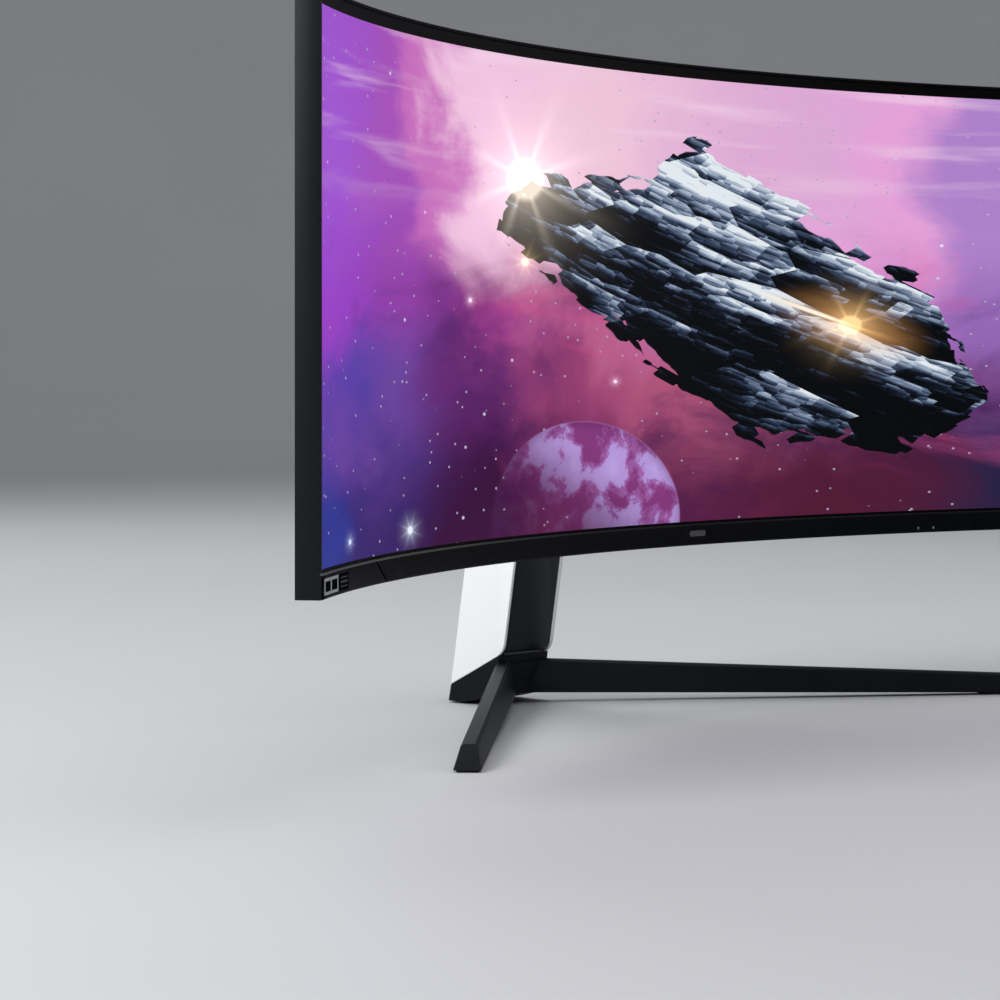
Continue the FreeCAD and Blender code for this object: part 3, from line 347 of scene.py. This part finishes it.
def circuit_board(name):
    """Green solder mask over fine copper tracks."""
    s = Shader(name)
    tracks = s.step(0.02, 0.05, s.cells(420.0, feature="DISTANCE_TO_EDGE")["Distance"])
    s.set(Base_Color=s.mix(tracks, srgb("2f7a4a"), srgb("0e4a2a")))
    s.set(Roughness=0.35)
    s.bump(tracks, 0.00004)
    return s.material


def frosted(name, tone):
    """Milky plastic that lets some light in."""
    s = Shader(name)
    haze = s.noise(700.0, detail=3.0)
    s.set(Base_Color=s.mix(haze, tuple(v * 0.9 for v in tone), tone))
    s.set(Roughness=s.add(0.25, s.mul(haze, 0.15)), Subsurface_Weight=0.3, Subsurface_Scale=0.002)
    s.bump(haze, 0.00003)
    return s.material


def trim_line(name):
    """Satin trim with a painted highlight that grows paler towards the left end, where it wraps
    round the corner.
    """
    s = Shader(name)
    arc = arc_of(s)[0]
    worn = s.noise(160.0, detail=3.0)
    # Painted highlight: the pale olive-grey towards the left end stands for light caught along the
    # lip's top edge.
    base = s.mix(s.step(*TRIM_HIGHLIGHT_FADE, arc), srgb("131417"), srgb("4c524b"))
    s.set(Base_Color=s.mix(s.mul(worn, 0.35), base, srgb("0c0d0e")), Roughness=0.34)
    s.set(Specular_IOR_Level=0.12)
    s.bump(worn, 0.00002)
    return s.material


def badge_print(name):
    """Two blank badges: a light one with two dark panels, and a dark one with three grey bars."""
    s = Shader(name)
    arc, z, _ = arc_of(s)
    first = s.step(*BADGE_SPLIT, arc)
    panels = s.add(*(s.inside(arc, *ends) for ends in BADGE_PANELS))
    panels = s.mul(panels, s.inside(z, *BADGE_PANEL_HEIGHTS))
    light = s.mix(panels, srgb("a2a4a6"), srgb("0c0e10"))
    high, middle, low = (s.inside(z, *ends) for ends in BADGE_BAR_HEIGHTS)
    bars = s.mul(s.add(high, s.add(middle, low)), s.inside(arc, *BADGE_BARS))
    dark = s.mix(bars, srgb("0c0e10"), srgb("4a4d51"))
    foil = s.noise(600.0, detail=2.0)
    s.set(Base_Color=s.mix(first, dark, light), Roughness=s.add(0.34, s.mul(foil, 0.1)))
    s.set(Specular_IOR_Level=0.0)
    s.bump(foil, 0.00002)
    return s.material


def arc_of(s):
    """Place along the screen's curve, height and distance from the curve's axis."""
    x, y, z = s.split(s.place)
    back = s.sub(y, CURVE_Y)
    arc = s.mul(s.math("ARCTAN2", x, back), CURVE_R)
    radius = s.math("SQRT", s.add(s.mul(x, x), s.mul(back, back)))
    return arc, z, radius


def display_picture():
    """Anti-glare glass over a lit picture of a nebula, a planet and a drifting rock."""
    s = Shader("display_picture")
    arc, z, radius = arc_of(s)

    # The picture's own units: metres upwards, and squeezed metres sideways
    flat = s.join(s.mul(arc, 1 / PICTURE_STRETCH), z)
    rise = s.math("DIVIDE", s.sub(z, LIT_LOW), LIT_HIGH - LIT_LOW)
    colour = nebula(s, flat, arc, rise)
    colour = stars(s, flat, colour)
    colour = planet(s, flat, colour)
    colour = rock(s, flat, colour)
    for cx, cz, size, tint, gain in FLARES:
        colour = s.mix(1.0, colour, flare(s, flat, cx, cz, size, srgb(tint), gain), "ADD")

    lit = s.mul(s.inside(arc, -LIT_HALF, LIT_HALF), s.inside(z, LIT_LOW, LIT_HIGH))
    lit = s.mul(lit, s.step(CURVE_R + LIT_SKIN[1], CURVE_R + LIT_SKIN[0], radius))
    s.set(Base_Color=srgb("050506"), Roughness=0.45, Specular_IOR_Level=0.03)
    s.set(Emission_Color=s.mix(lit, (0, 0, 0), colour), Emission_Strength=PICTURE_POWER)
    s.bump(s.noise(2600.0, detail=1.0), 0.00002)
    return s.material


# Bright points of the picture: place across and up, size, tint and gain
FLARES = ((-0.1266, 0.4006, 0.0150, "fff0dc", 1.15),
          (-0.1266, 0.3430, 0.0034, "ffdca0", 0.9),
          (0.1003, 0.3009, 0.0075, "ffd79c", 1.2),
          (-0.2303, 0.1640, 0.0026, "e8f2ff", 1.3),
          (-0.2995, 0.1633, 0.0017, "dbe8ff", 0.9),
          (-0.1731, 0.3150, 0.0014, "ffe9ff", 1.0),
          (-0.0571, 0.2580, 0.0012, "f3e6ff", 0.9))

# Clouds, from the bottom band to the top one: the share of the picture's height at which a band
# has wholly taken over, and its colours by their share of the picture's width
CLOUD_BANDS = (
    (0.06, ((0.0, "2f3792"), (0.12, "39256e"), (0.24, "390d3c"), (0.42, "6d2750"),
            (0.62, "521a36"), (0.8, "232247"))),
    (0.32, ((0.0, "5840aa"), (0.14, "6a449f"), (0.24, "642772"), (0.38, "973f72"),
            (0.52, "b4587c"), (0.8, "7a4a8c"))),
    (0.47, ((0.0, "9942cd"), (0.15, "9340a8"), (0.21, "803490"), (0.27, "9c3c8c"),
            (0.42, "bd628e"), (0.60, "b977b0"), (0.71, "dc92d2"), (0.8, "9668b8"))),
    (0.68, ((0.0, "9d52d0"), (0.15, "a450ba"), (0.21, "c96fbe"), (0.27, "f3c4e2"),
            (0.38, "f0c6dc"), (0.60, "dfabd8"), (0.71, "e8a4dc"), (0.8, "b083cd"))),
)

# The planet: its centre, its radii and how much of its light comes from the right and from above
PLANET = (-0.0835, 0.1560)
PLANET_RADII = (0.0725, 0.0740)
PLANET_SUN = (0.62, 0.78)

# Stars: cells per metre, radius as a share of a cell, share of the cells left empty, and gain
STARS = ((120.0, 0.14, 0.28, 0.55), (52.0, 0.085, 0.46, 0.8), (17.0, 0.036, 0.60, 1.2))

# The rock: its centre, its slope, the range of its outlines, and the heights of its crown and the
# depths of its keel along it
ROCK = (0.016, 0.3130)
ROCK_TURN = math.radians(23)
ROCK_REACH = 0.2
CROWN = ((-0.2, -0.06), (-0.181, -0.03), (-0.172, 0.008), (-0.155, 0.029), (-0.082, 0.068),
         (-0.070, 0.104), (-0.058, 0.112), (0.000, 0.098), (0.052, 0.082), (0.126, 0.060),
         (0.180, 0.000), (0.2, -0.06))
KEEL = ((-0.2, -0.06), (-0.180, -0.02), (-0.171, 0.020), (-0.110, 0.034), (-0.030, 0.052),
        (0.000, 0.072), (0.072, 0.084), (0.120, 0.058), (0.155, 0.058), (0.180, 0.008),
        (0.2, -0.06))

# Blocks of the rock: cells per metre, turn and gain
ROCK_BLOCKS = (((9.0, 24.0, 1.0), 0.40, 0.46), ((27.0, 70.0, 1.0), 0.16, 0.26),
               ((84.0, 190.0, 1.0), 0.0, 0.17))
ROCK_GLINT = (0.1003, 0.3009, 0.060, 0.028)     # place and radii of the warm light
ROCK_BEAM = (0.0700, 0.3140, 0.042, 0.0024)     # place and radii of the thin beam


def nebula(s, flat, arc, rise):
    """Bands of coloured cloud with ragged, swirling borders."""
    swirl = s.noise(7.5, flat, detail=9.0, rough=0.56, warp=0.55)
    broad = s.noise(3.6, s.stretch((1, 1, 1), flat, shift=(3.1, 1.7, 0.4)), detail=5.0, warp=0.7)
    drift = s.add(s.mul(s.sub(broad, 0.5), 0.16), s.mul(s.sub(swirl, 0.5), 0.34))
    across = s.add(s.math("MULTIPLY_ADD", arc, 0.5 / LIT_HALF, 0.5), drift)
    up = s.add(rise, s.mul(s.sub(swirl, 0.5), 0.50))
    colour = None
    for height, stops in CLOUD_BANDS:
        band = s.ramp(across, *((place, srgb(code)) for place, code in stops))
        colour = band if colour is None else s.mix(s.step(below, height, up), colour, band)
        below = height

    # Dark smoke, warm folds and pale streaks of light across the top
    smoke = s.noise(5.2, s.stretch((1, 1.5, 1), flat, shift=(0.9, 5.2, 0.0)), detail=9.0,
                    rough=0.6, warp=0.8)
    smoke = s.mul(s.step(0.50, 0.68, smoke), s.step(0.86, 0.45, rise))
    colour = s.mix(s.mul(smoke, 0.62), colour, srgb("33104a"))
    fold = s.noise(8.0, s.stretch((0.8, 1.3, 1), flat, shift=(6.4, 0.3, 2.0)), detail=8.0,
                   rough=0.6, warp=0.9)
    fold = s.mul(s.step(0.54, 0.70, fold), s.inside(rise, 0.12, 0.62, 0.12))
    fold = s.mul(fold, s.step(-0.36, -0.20, arc))
    colour = s.mix(s.mul(fold, 0.5), colour, srgb("cf4f8c"))
    streak = s.noise(1.0, s.stretch((7.0, 60.0, 1.0), flat, turn=0.12), detail=4.0, warp=0.3)
    streak = s.mul(s.step(0.5, 0.75, streak), s.step(0.60, 0.9, rise))
    return s.mix(s.mul(streak, 0.5), colour, srgb("f7d9ef"))


def local_units(s, flat, cx, cz, turn):
    """Picture coordinates measured from a point, on turned axes."""
    moved = s.node("ShaderNodeVectorMath", operation="SUBTRACT")
    s.feed(moved.inputs[0], flat)
    moved.inputs[1].default_value = (cx, cz, 0)
    return s.stretch((1, 1, 1), moved.outputs[0], turn=turn)


def spot(s, flat, cx, cz, rx, rz, turn=0.0):
    """Distance from a point, 1 on the rim of an ellipse, and the ellipse's own coordinates."""
    scaled = s.stretch((1 / rx, 1 / rz, 0), local_units(s, flat, cx, cz, turn))
    length = s.node("ShaderNodeVectorMath", operation="LENGTH")
    s.feed(length.inputs[0], scaled)
    return length.outputs["Value"], scaled


def planet(s, flat, colour):
    """A planet with pale ragged lands, lit from above and dark towards its lower left."""
    distance, local = spot(s, flat, *PLANET, *PLANET_RADII)
    x, z = s.split(local)[:2]
    ball = s.math("SQRT", s.math("MAXIMUM", s.sub(1.0, s.mul(distance, distance)), 0.0))
    land = s.noise(30.0, s.stretch((1.0, 0.75, 1.0), flat, turn=-0.4), detail=9.0, rough=0.60,
                   warp=0.22)
    skin = s.ramp(land, (0.42, srgb("84397a")), (0.475, srgb("9c5ca2")), (0.515, srgb("b698dc")),
                  (0.70, srgb("c6aeea")))
    sun = s.step(-0.40, 0.70, s.add(s.mul(x, PLANET_SUN[0]), s.mul(z, PLANET_SUN[1])))
    shade = s.mul(s.add(0.08, s.mul(sun, 0.92)),
                  s.add(0.45, s.mul(s.step(0.0, 0.5, ball), 0.55)))
    skin = s.mix(shade, srgb("48124a"), skin)
    skin = s.mix(s.mul(s.step(0.24, 0.02, ball), s.mul(sun, 0.6)), skin, srgb("c583c8"))
    edge = s.mul(s.step(1.006, 0.985, distance), s.add(0.25, s.mul(sun, 0.75)))
    return s.mix(edge, colour, skin)


def stars(s, flat, colour):
    """Three sizes of star, each in a share of the cells of its own grid."""
    for scale, size, share, gain in STARS:
        grid = s.cells(scale, flat)
        chance = s.split(grid["Color"])[0]
        core = s.step(size, size * 0.3, grid["Distance"])
        seen = s.mul(core, s.step(share, share + 0.02, chance))
        colour = s.mix(seen, colour, tuple(gain * v for v in srgb("eadcff")))
    return colour


def rock(s, flat, colour):
    """A long blocky rock, pale above and almost black below, with a warm glint in its side."""
    place = local_units(s, flat, *ROCK, ROCK_TURN)
    along, height = s.split(place)[:2]
    chips = s.cells(1.0, s.stretch((44.0, 92.0, 1.0), place, turn=0.3), metric="CHEBYCHEV")
    ragged = s.add(s.mul(s.sub(s.split(chips["Color"])[0], 0.5), 0.020),
                   s.mul(s.sub(s.noise(24.0, flat, detail=3.0), 0.5), 0.030))
    above = s.sub(s.profile(along, -ROCK_REACH, ROCK_REACH, CROWN), height)
    below = s.add(s.profile(along, -ROCK_REACH, ROCK_REACH, KEEL), height)
    body = s.step(0.0, 0.0012, s.add(s.math("MINIMUM", above, below), ragged))

    # Blocks of three sizes, each lit along its own upper side
    light = 0.0
    for scale, turn, gain in ROCK_BLOCKS:
        mapped = s.stretch(scale, place, turn=turn)
        block = s.cells(1.0, mapped, metric="CHEBYCHEV")
        lift = s.sub(s.split(mapped)[1], s.split(block["Position"])[1])
        shade = s.add(s.mul(lift, 1.1), s.sub(s.split(block["Color"])[0], 0.5))
        light = s.add(light, s.mul(shade, gain))
    strata = s.noise(1.0, s.stretch((16.0, 150.0, 1.0), place, turn=0.1), detail=8.0,
                     rough=0.64, warp=0.5)
    broad = s.noise(1.0, s.stretch((11.0, 30.0, 1.0), place, shift=(2.0, 0.7, 0.0)), detail=2.0)
    upper = s.step(-0.060, 0.080, s.add(height, s.mul(s.sub(strata, 0.5), 0.10)))
    light = s.add(s.add(light, s.mul(strata, 0.60)), s.mul(s.sub(broad, 0.5), 0.55))
    light = s.add(light, s.sub(s.mul(upper, 0.42), 0.10))
    skin = s.ramp(light, (0.24, srgb("04060a")), (0.38, srgb("0e1522")), (0.50, srgb("303e56")),
                  (0.62, srgb("66758f")), (0.74, srgb("a3b2c6")), (0.90, srgb("e6edf3")))
    warm = spot(s, flat, *ROCK_GLINT, ROCK_TURN)[0]
    skin = s.mix(s.mul(s.step(1.0, 0.0, warm), s.mul(strata, 1.1)), skin, srgb("c98b4a"))
    beam = spot(s, flat, *ROCK_BEAM, ROCK_TURN)[0]
    skin = s.mix(s.step(1.0, 0.3, beam), skin, srgb("fff1dc"))
    return s.mix(body, colour, skin)


def flare(s, flat, cx, cz, size, tint, gain):
    """A bright point with a soft halo and eight short thin rays."""
    distance, local = spot(s, flat, cx, cz, size, size)
    square = s.mul(distance, distance)
    core = s.step(1.15, 0.45, distance)
    halo = s.math("DIVIDE", 0.62, s.add(1.0, s.mul(square, 0.75)))
    x, z = s.split(local)[:2]
    angle = s.math("ARCTAN2", z, x)
    rays = s.math("POWER", s.math("ABSOLUTE", s.math("SINE", s.mul(angle, 4.0))), 14.0)
    rays = s.math("DIVIDE", s.mul(rays, 0.32), s.add(1.0, s.mul(square, 0.35)))
    power = s.mul(s.add(s.add(core, halo), s.mul(rays, s.step(0.2, 1.0, distance))), gain)
    reach = s.step(7.0, 1.5, distance)
    return s.mix(s.mul(power, reach), (0, 0, 0), tint)


# ---------------------------------------------------------------- pieces made from CAD nodes


def softened(node, width, segments):
    """Replaces a CAD node by a piece of the same shape whose hard edges are rounded."""
    source = frame["nodes"][node]
    piece = bpy.data.objects.new(node + "_skin", source.data.copy())
    bpy.context.scene.collection.objects.link(piece)
    work = bmesh.new()
    work.from_mesh(piece.data)
    bmesh.ops.remove_doubles(work, verts=work.verts, dist=WELD)
    bmesh.ops.dissolve_limit(work, angle_limit=FLAT_BELOW, verts=work.verts, edges=work.edges,
                             delimit={"NORMAL"})
    work.to_mesh(piece.data)
    work.free()
    for name in [a.name for a in piece.data.attributes if a.name == "custom_normal"]:
        piece.data.attributes.remove(piece.data.attributes[name])
    bevel = piece.modifiers.new("round", "BEVEL")
    bevel.width = width
    bevel.segments = segments
    bevel.limit_method = "ANGLE"
    bevel.angle_limit = ROUND_ABOVE
    bake_modifiers(piece)
    smooth(piece.data)
    piece.data.materials.clear()
    piece.data.materials.append(source.data.materials[0])
    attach(piece, source["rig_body"])
    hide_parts(node)


def bake_modifiers(piece):
    """Gives the piece the mesh that its modifiers make."""
    graph = bpy.context.evaluated_depsgraph_get()
    result = bpy.data.meshes.new_from_object(piece.evaluated_get(graph))
    piece.modifiers.clear()
    piece.data = result


def smooth(mesh):
    """Smooth shading, except across sharp edges."""
    work = bmesh.new()
    work.from_mesh(mesh)
    for face in work.faces:
        face.smooth = True
    for edge in work.edges:
        edge.smooth = len(edge.link_faces) == 2 and edge.calc_face_angle(0.0) < SMOOTH_BELOW
    work.to_mesh(mesh)
    work.free()


def paint(material, *nodes):
    """Gives CAD nodes a material."""
    for node in nodes:
        mesh = frame["nodes"][node].data
        mesh.materials.clear()
        mesh.materials.append(material)


def paint_everything():
    black = moulded("black_moulding", srgb("0b0d10"), srgb("07090b"), 0.46, 2400.0, 0.00010,
                    specular=0.03)
    side = moulded("frame_side", srgb("171b1f"), srgb("0e1114"), 0.42, 2400.0, 0.00010,
                   specular=0.12)
    satin = moulded("satin_black", srgb("191e24"), srgb("12161b"), 0.34, 1800.0, 0.00006,
                    specular=0.16)
    fitting = moulded("fitting_black", srgb("161617"), srgb("101011"), 0.5, 1600.0, 0.00008)
    grille = moulded("grille_grey", srgb("2b2b2d"), srgb("222224"), 0.55, 1600.0, 0.00008)
    pale = moulded("pale_moulding", srgb("dedfdc"), srgb("d2d3d0"), 0.5, 900.0, 0.00005)
    lens = moulded("dark_lens", srgb("060607"), srgb("040405"), 0.12, 300.0, 0.00001, coat=0.8)
    lamp = frosted("lamp_lens", srgb("8f9094"))
    plate_white = glossy_white("gloss_white", srgb("eceef0"), srgb("f6f7f8"))
    rear_white = glossy_white("rear_white", srgb("c4c6c9"), srgb("d0d2d4"))
    steel = brushed("zinc_steel", srgb("b9bcbf"), 0.32)
    bolt = brushed("bolt_steel", srgb("a4a6a9"), 0.28)
    coated = moulded("powder_coat", srgb("1d1e20"), srgb("161718"), 0.5, 1300.0, 0.00012)
    alloy = brushed("column_alloy", srgb("a9adb1"), 0.34, (1500.0, 1500.0, 30.0))
    bronze = brushed("bush_bronze", srgb("a97c44"), 0.35)
    sockets = brushed("socket_shell", srgb("c5c7c9"), 0.22)
    boards = circuit_board("circuit_board")
    paint(display_picture(), "lcd_panel")
    paint(frosted("optical_film", srgb("e2e3e0")), "diffuser_films")
    paint(pale, "diffuser_spacer_frame")
    paint(boards, "backlight_board", "main_board", "power_board", "backlight_driver_board",
          "timing_board", "joystick_board")
    paint(steel, "backlight_chassis", "main_board_shield", "port_plate", "mount_carrier")
    paint(black, "frame_top", "chin_bezel", "chin_corner_left", "chin_corner_right")
    paint(side, "frame_left", "frame_right")
    paint(lens, "sensor_window")
    paint(lamp, "status_lamp_lenses")
    paint(badge_print("badge_print"), "badge_plates")
    paint(rear_white, "rear_cover_centre", "rear_cover_left", "rear_cover_right", "hinge_shroud")
    paint(plate_white, "neck_side_plate_left", "neck_side_plate_right")
    paint(frosted("light_ring", srgb("c9d2e0")), "light_ring")
    paint(grille, "vent_grilles")
    paint(sockets, "hdmi_sockets", "displayport_socket", "usb_sockets")
    paint(fitting, "audio_socket", "power_inlet", "joystick_cradle", "joystick_gimbal_ring",
          "glide_shoes", "joystick_knob")
    paint(coated, "bracket_plate", "tilt_bracket", "swivel_yoke", "lift_carriage")
    paint(bolt, "bracket_screws", "tilt_shaft", "swivel_pin", "friction_washers", "stand_bolts",
          "lift_spring_coil", "lift_spring_strip")
    paint(bronze, "swivel_bush")
    paint(cast_dark("cast_dark"), "hub", "leg_left", "leg_right")
    paint(rubber("foot_rubber"), "rubber_feet")
    paint(alloy, "column")
    paint(satin, "neck_front_cover", "neck_rear_cover", "neck_top_cap", "hub_bottom_cover")
    chin_trim(trim_line("trim_line"))


def arc_strip(name, low, high):
    """Thin strip between two heights, bent along the screen's front, with softened front edges."""
    front, back = TRIM_DEPTHS
    section = [(front, low + TRIM_EDGE), (front + TRIM_EDGE, low), (back, low), (back, high),
               (front + TRIM_EDGE, high), (front, high - TRIM_EDGE)]
    work = bmesh.new()
    last = None
    for k in range(TRIM_SEGMENTS + 1):
        turn = (2 * k / TRIM_SEGMENTS - 1) * TRIM_HALF_ARC / CURVE_R
        ring = [work.verts.new(((CURVE_R + depth) * math.sin(turn),
                                CURVE_Y + (CURVE_R + depth) * math.cos(turn), height))
                for depth, height in section]
        if last:
            for i in range(len(section)):
                after = (i + 1) % len(section)
                work.faces.new((last[i], ring[i], ring[after], last[after]))
        else:
            work.faces.new(reversed(ring))
        last = ring
    work.faces.new(last)
    bmesh.ops.recalc_face_normals(work, faces=work.faces)
    mesh = bpy.data.meshes.new(name)
    work.to_mesh(mesh)
    work.free()
    strip = bpy.data.objects.new(name, mesh)
    bpy.context.scene.collection.objects.link(strip)
    smooth(mesh)
    return strip


def chin_trim(material):
    """Satin line where the chin meets the glass, wrapped a little way round both ends."""
    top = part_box("chin_bezel")[1].z
    strip = arc_strip("chin_trim", top - TRIM_UNDER, top + TRIM_OVER)
    strip.data.materials.append(material)
    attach(strip, "panel")


# ---------------------------------------------------------------- stage, lights and camera

def backdrop():
    """Pale floor that curves up into a low wall all round, far outside the object."""
    flat = FLOOR_RADII[-1]
    profile = [(radius, 0.0) for radius in FLOOR_RADII]
    for i in range(1, BEND_RINGS + 1):
        angle = math.radians(90) * i / BEND_RINGS
        profile.append((flat + BEND_R * math.sin(angle), BEND_R * (1 - math.cos(angle))))
    profile.append((flat + BEND_R, WALL_TOP))
    work = bmesh.new()
    centre = work.verts.new((0, 0, 0))
    last = None
    for radius, height in profile:
        ring = [work.verts.new((radius * math.cos(math.tau * k / FLOOR_SECTORS),
                                radius * math.sin(math.tau * k / FLOOR_SECTORS), height))
                for k in range(FLOOR_SECTORS)]
        for k in range(FLOOR_SECTORS):
            after = (k + 1) % FLOOR_SECTORS
            corners = (centre, ring[k], ring[after])
            if last:
                corners = (last[k], ring[k], ring[after], last[after])
            work.faces.new(corners).smooth = True
        last = ring
    mesh = bpy.data.meshes.new("floor")
    work.to_mesh(mesh)
    work.free()
    floor = bpy.data.objects.new("floor", mesh)
    bpy.context.scene.collection.objects.link(floor)
    s = Shader("pale_floor")
    drift = s.noise(1.3, detail=3.0)
    s.set(Base_Color=s.mix(drift, srgb("b9babd"), srgb("c1c2c4")), Roughness=0.6)
    mesh.materials.append(s.material)


def area_light(name, place, target, size, power):
    """Soft white square light that faces its target."""
    data = bpy.data.lights.new(name, "AREA")
    data.size = size
    data.energy = power
    lamp = bpy.data.objects.new(name, data)
    bpy.context.scene.collection.objects.link(lamp)
    lamp.location = place
    lamp.rotation_euler = (Vector(target) - Vector(place)).to_track_quat("-Z", "Y").to_euler()


def studio():
    """Even pale sky and four soft lights."""
    world = bpy.data.worlds.new("studio")
    bpy.context.scene.world = world
    world.use_nodes = True
    sky = world.node_tree.nodes["Background"]
    sky.inputs["Color"].default_value = SKY
    sky.inputs["Strength"].default_value = SKY_POWER
    for light in LIGHTS:
        area_light(*light)
    bpy.context.scene.view_settings.view_transform = "Standard"


def camera():
    """Level camera in front of the left end, a little below the middle of the screen."""
    data = bpy.data.cameras.new("camera")
    data.sensor_width = CAMERA_SENSOR
    data.lens = CAMERA_LENS
    data.shift_x, data.shift_y = CAMERA_SHIFT
    data.clip_end = CAMERA_REACH
    eye = bpy.data.objects.new("camera", data)
    bpy.context.scene.collection.objects.link(eye)
    eye.location = CAMERA_PLACE
    eye.rotation_euler = (math.radians(90), 0, CAMERA_TURN)
    bpy.context.scene.camera = eye


paint_everything()
for width, segments, nodes in ROUNDING:
    for node in nodes:
        softened(node, width, segments)
backdrop()
studio()
camera()
